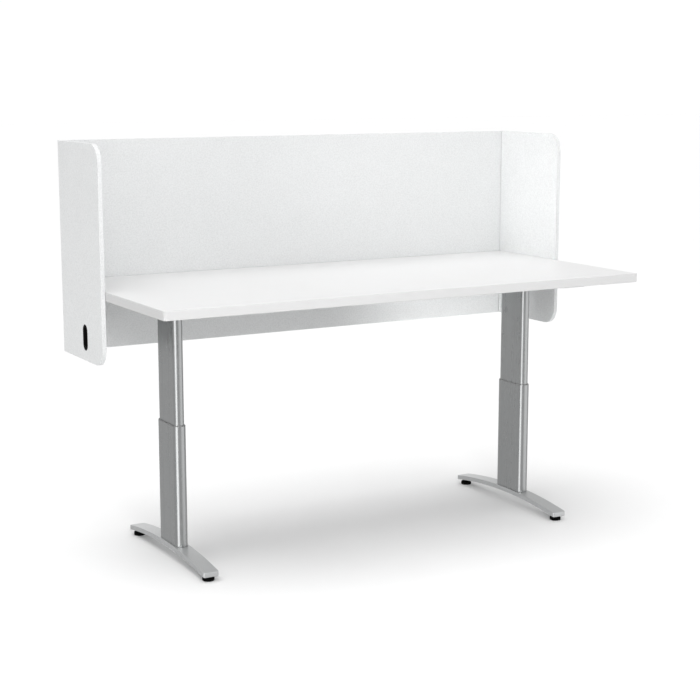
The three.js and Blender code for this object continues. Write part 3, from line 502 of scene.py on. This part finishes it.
def moulded_finish(name, tone, roughness, gloss=0.02):
    """Moulded plastic or rubber with a spark-eroded grain and faint scuffs."""
    plastic = Finish(name, Specular_IOR_Level=gloss)
    grain = plastic.noise(2200, 2, 0.55)
    scuff = plastic.noise(90, 4, 0.7, stretch=(1, 0.3, 1))
    mixed = plastic.blend(grain, scuff, 0.45)
    plastic.colour(mixed, [(0.36, shade(tone * 0.75)), (0.7, shade(tone * 1.6))])
    plastic.rough(mixed, roughness * 0.85, roughness * 1.15)
    plastic.bump(grain, 0.05 * MM, 0.5)
    return plastic.material


FINISHES = {
    "laminate": laminate_finish("laminate", 0.68),
    # The edge band wears the laminate a shade darker: painted shade that makes the desktop's side
    # faces darker than its top.
    "shaded_edge_band": laminate_finish("shaded_edge_band", 0.58),
    "felt": felt_finish(),
    "anodised": extrusion_finish(),
    "foot_silver": powder_finish("foot_silver", 0.5, 0.65, 0.4),
    "frame_silver": powder_finish("frame_silver", 0.46, 0.6, 0.45),
    "gearbox": cast_finish(),
    "drive_steel": turned_finish("drive_steel", (0.98, 0.99, 1.0), 0.52, 0.34),
    "bronze": turned_finish("bronze", (1.0, 0.72, 0.38), 0.62, 0.36),
    "nylon": moulded_finish("nylon", 0.24, 0.5, 0.3),
    "black_plastic": moulded_finish("black_plastic", 0.004, 0.5),
    "pad": moulded_finish("pad", 0.003, 0.65),
}

# ---- Pieces ---------------------------------------------------------------------------------

BODY_OF = {
    node: body
    for body, nodes in frame["record"]["behaviour"]["bodies"].items()
    for node in nodes
}
SMOOTH_BELOW = math.radians(35)


def mesh_of(name, shell):
    """A new mesh from a shell's points and faces."""
    mesh = bpy.data.meshes.new(name)
    points, faces = shell
    mesh.from_pydata([tuple(point) for point in points], [], faces)
    return mesh


def mend(mesh):
    """Joins a mesh's repeated points and turns its faces outwards."""
    work = bmesh.new()
    work.from_mesh(mesh)
    bmesh.ops.remove_doubles(work, verts=work.verts, dist=SAME_POINT)
    bmesh.ops.recalc_face_normals(work, faces=work.faces)
    work.to_mesh(mesh)
    work.free()


def slice_at(work, spot, normal):
    """Adds edges to an open bmesh where a plane crosses its faces."""
    bmesh.ops.bisect_plane(
        work,
        geom=work.verts[:] + work.edges[:] + work.faces[:],
        dist=ON_PLANE,
        plane_co=spot,
        plane_no=normal,
    )


def piece(name, shell, slot, body, replaced=(), finish=None):
    """Makes one object from a closed shell. It wears a finish and rides on a body."""
    return wear(name, mesh_of(name, shell), slot, body, replaced, finish)


def wear(name, mesh, slot, body, replaced=(), finish=None):
    """Gives a mesh outward faces, soft shading, its finish and its body."""
    mend(mesh)
    mesh.shade_smooth()
    mesh.set_sharp_from_angle(angle=SMOOTH_BELOW)
    obj = bpy.data.objects.new(name, mesh)
    bpy.context.scene.collection.objects.link(obj)
    mesh.materials.append(FINISHES[finish or slot])
    normals = obj.modifiers.new("even_normals", "WEIGHTED_NORMAL")
    normals.keep_sharp = True
    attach(obj, body)
    if replaced:
        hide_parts(*replaced)
    return obj


def middle(node):
    low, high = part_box(node)
    return (low + high) / 2


def size(node):
    low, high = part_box(node)
    return high - low


# ---- Desktop --------------------------------------------------------------------------------


def build_desktop():
    """The board and, round it, an edge band with rounded rims and a fine seam between the two."""
    low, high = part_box("desktop")
    centre, extent = middle("desktop"), size("desktop")
    outer = rounded_rectangle(extent.x, extent.y, DESK_CORNER, DESK_STEPS, centre)
    inner = inset(outer, BAND)
    rim = quarter_round(BAND_ROUND, RIM_STEPS)
    rings = [[(x, y, low.z + drop) for x, y in inset(outer, pulled)] for pulled, drop in rim]
    rings += [[(x, y, high.z - drop) for x, y in inset(outer, pulled)] for pulled, drop in rim[::-1]]
    rings += [[(x, y, z) for x, y in inner] for z in (high.z, low.z)]
    band = loft(rings, closed=True)
    board = prism([inset(outer, BAND + BAND_SEAM)], low.z, high.z, BAND_SEAM, 2)
    piece("desktop_board", board, "laminate", "top", ["desktop"])
    # The band wears the darker laminate, which is painted shade on the desktop's side faces.
    piece("desktop_edge_band", band, "laminate", "top", finish="shaded_edge_band")


# ---- Felt screen ----------------------------------------------------------------------------


def screen_plan():
    """The folded sheet seen from above, with a creased groove inside each fold."""
    left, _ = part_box("screen_left_wing")
    _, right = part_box("screen_right_wing")
    _, back_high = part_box("screen_back_panel")
    outside_x, outside_y = right.x, back_high.y
    inside_x, inside_y = outside_x - FELT, outside_y - FELT
    front = left.y
    fold_x, fold_y = outside_x - FOLD_RADIUS, outside_y - FOLD_RADIUS
    tip_x = outside_x - FELT_ARRIS
    half = arc((tip_x, front + FELT_ARRIS), FELT_ARRIS, -90, 0, ARRIS_STEPS)
    half += arc((fold_x, fold_y), FOLD_RADIUS, 0, 90, FOLD_STEPS)
    inner = [
        (inside_x - CREASE_MOUTH, inside_y),
        (inside_x - CREASE_MOUTH / 3, inside_y + CREASE_MOUTH / 4),
        (inside_x + CREASE_DEPTH * 0.7, inside_y + CREASE_DEPTH * 0.7),
        (inside_x + CREASE_MOUTH / 4, inside_y - CREASE_MOUTH / 3),
        (inside_x, inside_y - CREASE_MOUTH),
    ]
    tip = (inside_x + FELT_ARRIS, front + FELT_ARRIS)
    inner += arc(tip, FELT_ARRIS, 180, 270, ARRIS_STEPS)
    mirrored = [(-x, y) for x, y in half[::-1]]
    inner_mirrored = [(-x, y) for x, y in inner[::-1]]
    return distinct(half + mirrored + inner_mirrored + inner)


def round_off(point, front, low, high):
    """Moves a point of a wing's square front corner onto the rounded corner."""
    reach = (front + WING_CORNER - point.y) / WING_CORNER
    for edge, sign in ((low, 1), (high, -1)):
        rise = (edge + sign * WING_CORNER - point.z) * sign / WING_CORNER
        if reach <= 0 or rise <= 0:
            continue
        far = max(reach, rise)
        turn = math.pi / 4 * (rise / reach if reach >= rise else 2 - reach / rise)
        point.y = front + WING_CORNER * (1 - far * math.cos(turn))
        point.z = edge + sign * WING_CORNER * (1 - far * math.sin(turn))


def build_screen():
    """One folded sheet. It is cut into a grid so that the wings' front corners can be rounded."""
    low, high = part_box("screen_left_wing")
    half_length = -low.x
    mesh = mesh_of("felt_screen", prism([screen_plan()], low.z, high.z, FELT_ARRIS))
    work = bmesh.new()
    work.from_mesh(mesh)
    for i in range(CORNER_LINES + 1):
        step = WING_CORNER * i / CORNER_LINES
        if i:
            slice_at(work, (0, low.y + step, 0), (0, 1, 0))
        slice_at(work, (0, 0, low.z + max(step, FELT_ARRIS)), (0, 0, 1))
        slice_at(work, (0, 0, high.z - max(step, FELT_ARRIS)), (0, 0, 1))
    rows = round((high.z - low.z) / FELT_GRID)
    for i in range(2, rows - 1):
        slice_at(work, (0, 0, low.z + (high.z - low.z) * i / rows), (0, 0, 1))
    for i in range(2, round((high.y - low.y) / FELT_GRID)):
        slice_at(work, (0, low.y + i * FELT_GRID, 0), (0, 1, 0))
    columns = round(2 * half_length / FELT_GRID)
    for i in range(1, columns):
        slice_at(work, (-half_length + 2 * half_length * i / columns, 0, 0), (1, 0, 0))
    for vert in work.verts:
        if vert.co.y < low.y + WING_CORNER and abs(vert.co.x) > half_length - 2 * FELT:
            round_off(vert.co, low.y, low.z, high.z)
    work.to_mesh(mesh)
    work.free()
    nodes = ["screen_back_panel", "screen_left_wing", "screen_right_wing"]
    screen = wear("felt_screen", mesh, "felt", "top", nodes)
    cut_port(screen)


def port_outline(grow):
    """The cable port's obround in the Y-Z plane, larger all round by `grow`."""
    centre, extent = middle("cable_port_grommet"), size("cable_port_grommet")
    width, height = extent.y + 2 * grow, extent.z + 2 * grow
    return rounded_rectangle(width, height, width / 2, PORT_STEPS, (centre.y, centre.z))


def cut_port(screen):
    """The hole in the left wing, with a shallow recess for the moulding's flange."""
    low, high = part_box("cable_port_grommet")
    depth = PORT_FLANGE_DEPTH + PORT_CLEARANCE
    recess = prism([port_outline(PORT_CLEARANCE)], low.x - FELT, low.x + depth)
    hole = prism([port_outline(PORT_CLEARANCE - PORT_FLANGE)], low.x - FELT, high.x + FELT)
    drill(screen, [place(recess, "x"), place(hole, "x")])


def drill(obj, shells):
    """Cuts closed shells out of one object."""
    for shell in shells:
        mesh = mesh_of("cutter", shell)
        mend(mesh)
        cutter = bpy.data.objects.new("cutter", mesh)
        bpy.context.scene.collection.objects.link(cutter)
        subtract(obj, cutter)


def subtract(obj, cutter):
    """Cuts one object's mesh with another, which is then removed."""
    cut = obj.modifiers.new("cut", "BOOLEAN")
    cut.operation = "DIFFERENCE"
    cut.solver = "EXACT"
    cut.object = cutter
    others = [m for m in obj.modifiers if m != cut]
    for modifier in others:
        modifier.show_viewport = False
    bpy.context.view_layer.update()
    evaluated = obj.evaluated_get(bpy.context.evaluated_depsgraph_get())
    mesh = bpy.data.meshes.new_from_object(evaluated)
    obj.modifiers.remove(cut)
    for modifier in others:
        modifier.show_viewport = True
    mesh.set_sharp_from_angle(angle=SMOOTH_BELOW)
    obj.data = mesh
    bpy.data.objects.remove(cutter)


def build_grommet():
    """An obround moulding: flange, rounded lip and barrel, from the outside face inwards."""
    low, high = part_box("cable_port_grommet")
    wall = PORT_FLANGE + PORT_WALL
    section = [(-wall, high.x - low.x)]
    lip = quarter_round(PORT_LIP, RIM_STEPS)
    section += [(-wall + pulled, drop) for pulled, drop in lip[::-1]]
    section += [(-PORT_RIM_IN, 0), (0, PORT_RIM_DOWN), (0, PORT_FLANGE_DEPTH)]
    section += [(-PORT_FLANGE, PORT_FLANGE_DEPTH), (-PORT_FLANGE, high.x - low.x)]
    rings = [[(low.x + depth, y, z) for y, z in port_outline(grow)] for grow, depth in section]
    piece("cable_port", loft(rings, closed=True), "black_plastic", "top", ["cable_port_grommet"])


# ---- Feet and pads --------------------------------------------------------------------------


def arch_over(foot):
    """A function that gives the height of a foot's arched top at any y along it."""
    low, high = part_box(foot)
    half = (high.y - low.y) / 2
    radius = (half ** 2 + ARCH_RISE ** 2) / (2 * ARCH_RISE)
    return lambda y: high.z - radius + math.sqrt(radius ** 2 - (y - low.y - half) ** 2)


def build_foot(side):
    """A straight bar bent over its arch, then drilled from below."""
    foot = f"foot_{side}"
    low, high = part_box(foot)
    arch = arch_over(foot)
    centre, extent = middle(foot), size(foot)
    plan = rounded_rectangle(extent.x, extent.y, FOOT_CORNER, FOOT_STEPS, centre)
    mesh = mesh_of(foot, prism([plan], 0, FOOT_THICKNESS, FOOT_ARRIS))
    work = bmesh.new()
    work.from_mesh(mesh)
    stations = round(extent.y / FOOT_STATION)
    for i in range(1, stations):
        slice_at(work, (0, low.y + extent.y * i / stations, 0), (0, 1, 0))
    for vert in work.verts:
        vert.co.z += arch(vert.co.y) - FOOT_THICKNESS
    work.to_mesh(mesh)
    work.free()
    bar = wear(f"foot_bar_{side}", mesh, "foot_silver", "base", [foot])
    drill(bar, foot_holes(side, 2 * high.z))


def foot_holes(side, through):
    """A blind hole for each levelling stud, and a stepped one right through for each bolt."""
    holes = []
    for end in ENDS:
        stud = middle(f"levelling_stud_{side}_{end}")
        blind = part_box(f"levelling_stud_{side}_{end}")[1].z + SLIDING_GAP
        thread = STUD_RADIUS + SLIDING_GAP
        profile = [(0, 0), (thread, 0), (thread, blind), (0, blind)]
        holes.append(place(lathe(profile), "z", (stud.x, stud.y, 0)))
        bolt = middle(f"foot_bolt_{side}_{end}")
        seat, shank = BOLT_HEAD_RADIUS + SLIDING_GAP, BOLT_SHANK_RADIUS + SLIDING_GAP
        profile = [(0, 0), (seat, 0), (seat, BOLT_SEAT), (shank, BOLT_SEAT)]
        profile += [(shank, through), (0, through)]
        holes.append(place(lathe(profile), "z", (bolt.x, bolt.y, 0)))
    return holes


def build_pad(side, end):
    """A moulded disc, hollow under its tread, with a boss round the stud."""
    node = f"levelling_pad_{side}_{end}"
    low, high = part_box(node)
    centre = middle(node)
    radius, height = size(node).x / 2, high.z - low.z
    profile = [
        (0, PAD_HOLLOW),
        (radius * 0.62, PAD_HOLLOW),
        (radius * 0.66, 0),
        (radius * 0.9, 0),
        (radius * 0.97, PAD_CHAMFER),
        (radius, PAD_TREAD),
        (radius, height * 0.55),
        (radius * 0.97, height * 0.68),
        (radius * 0.86, height * 0.8),
        (radius * 0.62, height * 0.9),
        (radius * 0.52, height),
        (STUD_RADIUS + STUD_SEAT, height),
        (STUD_RADIUS + STUD_SEAT, height * 0.32),
        (0, height * 0.32),
    ]
    shell = place(lathe(profile, PAD_STEPS), "z", (centre.x, centre.y, low.z))
    piece(f"pad_{side}_{end}", shell, "pad", BODY_OF[node], [node])


# ---- Columns --------------------------------------------------------------------------------


def groove_flank(side, y, along):
    """One groove in a flat side at x = side, walked in the direction `along` (+1 or -1)."""
    sign = 1 if side > 0 else -1
    mouth, floor = GROOVE_MOUTH / 2, GROOVE_FLOOR / 2
    path = [
        (0, -mouth - GROOVE_ROUND),
        (GROOVE_ROUND * 0.3, -mouth + GROOVE_ROUND * 0.4),
        (GROOVE_DEPTH - GROOVE_ROUND * 0.5, -floor - GROOVE_ROUND * 0.3),
        (GROOVE_DEPTH, -floor + GROOVE_ROUND),
        (GROOVE_DEPTH, floor - GROOVE_ROUND),
        (GROOVE_DEPTH - GROOVE_ROUND * 0.5, floor + GROOVE_ROUND * 0.3),
        (GROOVE_ROUND * 0.3, mouth - GROOVE_ROUND * 0.4),
        (0, mouth + GROOVE_ROUND),
    ]
    return [(side - sign * depth, y + along * shift) for depth, shift in path]


def column_outline(length, width, nose, grooved=False):
    """Anticlockwise section of a column: two flats joined by rounded noses."""
    side, straight, flat = width / 2, length / 2 - nose, width / 2 - nose
    outline = []
    if grooved:
        for y in (-GROOVE_FROM_CENTRE, GROOVE_FROM_CENTRE):
            outline += groove_flank(side, y, 1)
    outline += arc((flat, straight), nose, 0, 90, NOSE_STEPS)
    outline += arc((-flat, straight), nose, 90, 180, NOSE_STEPS)
    if grooved:
        for y in (GROOVE_FROM_CENTRE, -GROOVE_FROM_CENTRE):
            outline += groove_flank(-side, y, -1)
    outline += arc((-flat, -straight), nose, 180, 270, NOSE_STEPS)
    outline += arc((flat, -straight), nose, 270, 360, NOSE_STEPS)
    return distinct(outline)


def ported_hollow(length, width, nose):
    """A column's hollow, which goes round a screw port in each nose."""
    radius = nose - COLUMN_WALL
    half_length, half_width = length / 2 - COLUMN_WALL, width / 2 - COLUMN_WALL
    nose_y = half_length - radius
    flat = half_width - radius
    port_y = half_length - PORT_BOSS_RADIUS + PORT_BOSS_BITE
    gap = port_y - nose_y
    along = (radius ** 2 - PORT_BOSS_RADIUS ** 2 + gap ** 2) / (2 * gap)
    across = math.sqrt(radius ** 2 - along ** 2) + flat
    at_nose = math.degrees(math.atan2(along, across - flat))
    at_port = math.degrees(math.atan2(nose_y + along - port_y, across))
    top = arc((flat, nose_y), radius, 0, at_nose, HOLLOW_STEPS)
    top += arc((0, port_y), PORT_BOSS_RADIUS, at_port, -180 - at_port, NOSE_STEPS)
    top += arc((-flat, nose_y), radius, 180 - at_nose, 180, HOLLOW_STEPS)
    bottom = [(-x, -y) for x, y in top]
    ports = [
        arc((0, sign * port_y), SCREW_PORT_RADIUS, 360, 0, NOSE_STEPS)[:-1]
        for sign in (-1, 1)
    ]
    return [distinct(top + bottom)[::-1], *ports]


def build_lower_column(side):
    """A plain hollow extrusion, with its lower end cut to the arch that it stands on."""
    node = f"lower_column_{side}"
    _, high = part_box(node)
    centre, extent = middle(node), size(node)
    outer = column_outline(extent.y, extent.x, LOWER_NOSE, grooved=True)
    hollow = column_outline(
        extent.y - 2 * COLUMN_WALL, extent.x - 2 * COLUMN_WALL, LOWER_NOSE - COLUMN_WALL)
    points, faces = prism([outer, hollow[::-1]], 0, high.z, COLUMN_ARRIS, 2)
    arch = arch_over(f"foot_{side}")
    standing = []
    for point in points:
        spot = Vector((point.x + centre.x, point.y + centre.y, point.z))
        if spot.z < high.z / 2:
            spot.z += arch(spot.y) + SLIDING_GAP
        standing.append(spot)
    piece(f"outer_column_{side}", (standing, faces), "anodised", "base", [node])


def build_upper_column(side):
    """An extrusion one wall smaller, with a screw port inside each nose."""
    node = f"upper_column_{side}"
    low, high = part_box(node)
    centre, extent = middle(node), size(node)
    outlines = [column_outline(extent.y, extent.x, UPPER_NOSE, grooved=True)]
    outlines += ported_hollow(extent.y, extent.x, UPPER_NOSE)
    shell = place(prism(outlines, low.z, high.z, COLUMN_ARRIS, 2), "z", (centre.x, centre.y, 0))
    piece(f"inner_column_{side}", shell, "anodised", "top", [node])


def build_collar(side):
    """Thin sleeve between the extrusions, with a rounded lip on the outer one's end."""
    node = f"glide_collar_{side}"
    low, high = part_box(node)
    lower, upper = size(f"lower_column_{side}"), size(f"upper_column_{side}")
    centre = middle(f"lower_column_{side}")
    off = COLUMN_WALL + SLIDING_GAP

    def ring(shrink, z):
        outline = column_outline(lower.y - 2 * shrink, lower.x - 2 * shrink, LOWER_NOSE - shrink)
        return [(centre.x + x, centre.y + y, z) for x, y in outline]

    bore = column_outline(
        upper.y + 2 * SLIDING_GAP, upper.x + 2 * SLIDING_GAP, UPPER_NOSE + SLIDING_GAP)
    lip_low = high.z - COLLAR_LIP
    rings = [ring(off, low.z), ring(off, lip_low), ring(COLLAR_INSET, lip_low)]
    rings += [ring(COLLAR_INSET, high.z - COLLAR_ROUND), ring(COLLAR_INSET + COLLAR_ROUND, high.z)]
    rings += [[(centre.x + x, centre.y + y, z) for x, y in bore] for z in (high.z, low.z)]
    piece(f"collar_{side}", loft(rings, closed=True), "nylon", "base", [node])


# ---- Underframe -----------------------------------------------------------------------------


def build_rail(end):
    """A rectangular tube between the two arms."""
    node = f"cross_rail_{end}"
    low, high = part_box(node)
    centre, extent = middle(node), size(node)
    axis = (centre.y, centre.z)
    outer = rounded_rectangle(extent.y, extent.z, RAIL_CORNER, RAIL_STEPS, axis)
    inner = rounded_rectangle(
        extent.y - 2 * RAIL_WALL, extent.z - 2 * RAIL_WALL, RAIL_CORNER / 2, RAIL_STEPS, axis)
    shell = place(prism([outer, inner[::-1]], low.x, high.x, RAIL_ARRIS, 1), "x")
    piece(f"rail_{end}", shell, "frame_silver", "top", [node])


def soften(node, slot, width=SHEET_ARRIS):
    """Gives a CAD node that stays its finish and a small rounded arris."""
    obj = frame["nodes"][node]
    obj.data.materials.clear()
    obj.data.materials.append(FINISHES[slot])
    if width:
        bevel = obj.modifiers.new("arris", "BEVEL")
        bevel.width = width
        bevel.segments = 2
        bevel.limit_method = "ANGLE"
        bevel.angle_limit = ARRIS_ABOVE
        bevel.harden_normals = True


def build_arm_screws(side):
    """The screws of one arm: into the desktop, the rails, the column and the gearbox."""
    low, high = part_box(f"support_arm_{side}")
    leg = middle(f"upper_column_{side}")
    lip = high.z - STEEL
    along = (
        low.y + ARM_HOLE_FROM_END,
        leg.y - ARM_HOLE_FROM_LEG,
        leg.y + ARM_HOLE_FROM_LEG,
        high.y - ARM_HOLE_FROM_END,
    )
    screws = [
        screw("down", (leg.x + out, y, lip), STEEL)
        for y in along
        for out in (-ARM_HOLE_OUT, ARM_HOLE_OUT)
    ]
    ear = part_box(f"gearbox_housing_{side}")[0].z + EAR_THICKNESS
    for end, sign in ENDS.items():
        screws.append(screw("down", (leg.x, middle(f"cross_rail_{end}").y, low.z), RAIL_SCREW))
        screws.append(screw("z", (leg.x, leg.y + sign * COLUMN_HOLE_Y, low.z + STEEL), COLUMN_SCREW))
        screws.append(screw("z", (leg.x, leg.y + sign * EAR_HOLE_Y, ear), ear - low.z))
    piece(f"arm_screws_{side}", merge(screws), "drive_steel", "top")


def build_bracket_screws(side):
    """The screws of one side's two brackets: up into the desktop and out into the felt."""
    back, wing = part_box(f"screen_bracket_back_{side}"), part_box(f"screen_bracket_wing_{side}")
    back_x, wing_y = middle(f"screen_bracket_back_{side}").x, middle(f"screen_bracket_wing_{side}").y
    sign = SIDES[side]
    inward = "right" if sign < 0 else "left"
    felt_x = wing[0].x if sign < 0 else wing[1].x
    desk_z, felt_z = back[1].z - STEEL, back[1].z - BRACKET_FELT_HOLE
    screws = []
    for out in (-BRACKET_HOLE_OUT, BRACKET_HOLE_OUT):
        x, y = back_x + out, wing_y + out
        screws.append(screw("down", (x, back[1].y - BRACKET_DESK_HOLE, desk_z), STEEL))
        screws.append(screw("front", (x, back[1].y - STEEL, felt_z), STEEL))
        screws.append(screw("down", (felt_x - sign * BRACKET_DESK_HOLE, y, desk_z), STEEL))
        screws.append(screw(inward, (felt_x - sign * STEEL, y, felt_z), STEEL))
    piece(f"bracket_screws_{side}", merge(screws), "drive_steel", "top")


def build_block_screws():
    """The two screws that hold the bearing block up to the desktop."""
    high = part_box("shaft_bearing_block")[1]
    block = middle("shaft_bearing_block")
    screws = [
        screw("down", (block.x + out, block.y, high.z - STEEL), STEEL)
        for out in (-BLOCK_HOLE_OUT, BLOCK_HOLE_OUT)
    ]
    piece("bearing_block_screws", merge(screws), "drive_steel", "top")


# CAD nodes of each side that stay: the finish they get, and the width of their arrises.
KEPT = {
    "base_plate": ("drive_steel", 0),
    "nut_tube": ("drive_steel", 0),
    "screw_nut": ("bronze", 0),
    "bottom_slider": ("nylon", 0),
    "lift_screw": ("drive_steel", 0),
    "support_arm": ("frame_silver", SHEET_ARRIS),
    "gearbox_housing": ("gearbox", SHEET_ARRIS),
    "gearbox_lid": ("gearbox", SHEET_ARRIS),
    "screw_bearing": ("drive_steel", 0),
    "screw_gear": ("drive_steel", 0),
    "shaft_pinion": ("drive_steel", 0),
    "screen_bracket_back": ("frame_silver", SHEET_ARRIS),
    "screen_bracket_wing": ("frame_silver", SHEET_ARRIS),
}

# ---- Camera, floor and light ----------------------------------------------------------------

# The camera's place in metres, its turn in degrees and its lens in millimetres.
CAMERA_AT = (-2.216, -3.833, 1.326)
CAMERA_TURN = (79.95, 0, -29.82)
CAMERA_LENS = 79.3
SEEN_TO = 200
FLOOR_HALF = 40

BACKDROP = 1.02
AMBIENT = 0.66
SUN = 1.75
SUN_AT = (-0.55, 0.05, 4)
SUN_ACROSS = math.radians(62)

# Area lights: where one stands, what it faces, its width and height in metres, and its watts.
FRONT_KEY = ((-1.5, -3.6, 2.05), (0.1, 0.2, 0.95), 1.2, 1.2, 66)
WING_KEY = ((-0.70, -0.2, 1.06), (0.76, 0.15, 1.0), 0.4, 0.28, 0.5)
WING_KEY_SPREAD = math.radians(44)
LOW_FILL = ((0.0, -0.28, 0.28), (0.62, 0.35, 0.6), 0.3, 0.3, 0.5)
LOW_FILL_SPREAD = math.radians(50)
SHEENS = {
    "left_sheen": ((-3.5, -2.0, 0.2), (-0.5, -0.1, 0.2), 2.3, 5.0, 88),
    "front_sheen": ((3.2, -3.6, 0.4), (0, 0, 0.4), 5.0, 4.0, 54),
    "rear_sheen": ((1.2, 4.2, 1.0), (-0.5, 0, 0), 4.0, 2.0, 14),
}


def build_camera():
    data = bpy.data.cameras.new("camera")
    data.lens = CAMERA_LENS
    data.clip_end = SEEN_TO
    camera = bpy.data.objects.new("camera", data)
    camera.location = CAMERA_AT
    camera.rotation_euler = [math.radians(a) for a in CAMERA_TURN]
    bpy.context.scene.collection.objects.link(camera)
    bpy.context.scene.camera = camera


def build_floor():
    """A wide sheet of pale paper, which metal doesn't mirror."""
    half = FLOOR_HALF
    corners = [(-half, -half, 0), (half, -half, 0), (half, half, 0), (-half, half, 0)]
    mesh = mesh_of("floor", (corners, [(0, 1, 2, 3)]))
    paper = Finish("floor", Roughness=0.9, Specular_IOR_Level=0.1)
    paper.colour(paper.noise(3, 2), [(0.3, shade(0.835)), (0.7, shade(0.845))])
    mesh.materials.append(paper.material)
    floor = bpy.data.objects.new("floor", mesh)
    floor.visible_glossy = False
    bpy.context.scene.collection.objects.link(floor)


def aim(light, at, target):
    """Places a light, hidden from the camera, and turns it to face a target."""
    light.location = at
    light.rotation_euler = (Vector(target) - Vector(at)).to_track_quat("-Z", "Y").to_euler()
    light.visible_camera = False
    bpy.context.scene.collection.objects.link(light)
    return light


def softbox(name, at, target, width, height, power):
    """A rectangular area light."""
    data = bpy.data.lights.new(name, "AREA")
    data.shape = "RECTANGLE"
    data.size, data.size_y = width, height
    data.energy = power
    return aim(bpy.data.objects.new(name, data), at, target)


def narrow(light, spread):
    """Keeps a softbox's light to a cone, and its picture out of glossy surfaces."""
    light.data.spread = spread
    light.visible_glossy = False


def build_world():
    """White all round: brighter behind the object than in the light that it gives."""
    world = bpy.data.worlds.new("studio")
    world.use_nodes = True
    tree = world.node_tree
    seen = tree.nodes["Background"]
    seen.inputs["Color"].default_value = (1, 1, 1, 1)
    seen.inputs["Strength"].default_value = BACKDROP
    ambient = tree.nodes.new("ShaderNodeBackground")
    ambient.inputs["Color"].default_value = (1, 1, 1, 1)
    ambient.inputs["Strength"].default_value = AMBIENT
    path = tree.nodes.new("ShaderNodeLightPath")
    choose = tree.nodes.new("ShaderNodeMixShader")
    tree.links.new(path.outputs["Is Camera Ray"], choose.inputs["Fac"])
    tree.links.new(ambient.outputs["Background"], choose.inputs[1])
    tree.links.new(seen.outputs["Background"], choose.inputs[2])
    tree.links.new(choose.outputs["Shader"], tree.nodes["World Output"].inputs["Surface"])
    bpy.context.scene.world = world


def build_light():
    """A broad light overhead, softboxes on the felt, and reflectors that show only as a sheen."""
    build_world()
    sun = bpy.data.lights.new("sky_panel", "SUN")
    sun.angle = SUN_ACROSS
    sun.energy = SUN
    aim(bpy.data.objects.new("sky_panel", sun), SUN_AT, (0, 0, 0))
    softbox("front_key", *FRONT_KEY)
    narrow(softbox("wing_key", *WING_KEY), WING_KEY_SPREAD)
    narrow(softbox("low_fill", *LOW_FILL), LOW_FILL_SPREAD)
    for name, settings in SHEENS.items():
        softbox(name, *settings).visible_diffuse = False
    bpy.context.scene.view_settings.view_transform = "Standard"


# ---- The scene ------------------------------------------------------------------------------

build_camera()
build_floor()
build_light()
build_desktop()
build_screen()
build_grommet()
for side in SIDES:
    build_foot(side)
    build_lower_column(side)
    build_upper_column(side)
    build_collar(side)
    build_arm_screws(side)
    build_bracket_screws(side)
    for node, (slot, width) in KEPT.items():
        soften(f"{node}_{side}", slot, width)
    for end in ENDS:
        build_pad(side, end)
        soften(f"levelling_stud_{side}_{end}", "drive_steel", 0)
        soften(f"foot_bolt_{side}_{end}", "drive_steel", 0)
for end in ENDS:
    build_rail(end)
build_block_screws()
soften("cross_shaft", "drive_steel", 0)
soften("crank_socket", "black_plastic", 0)
soften("shaft_bearing_block", "nylon", SHEET_ARRIS)
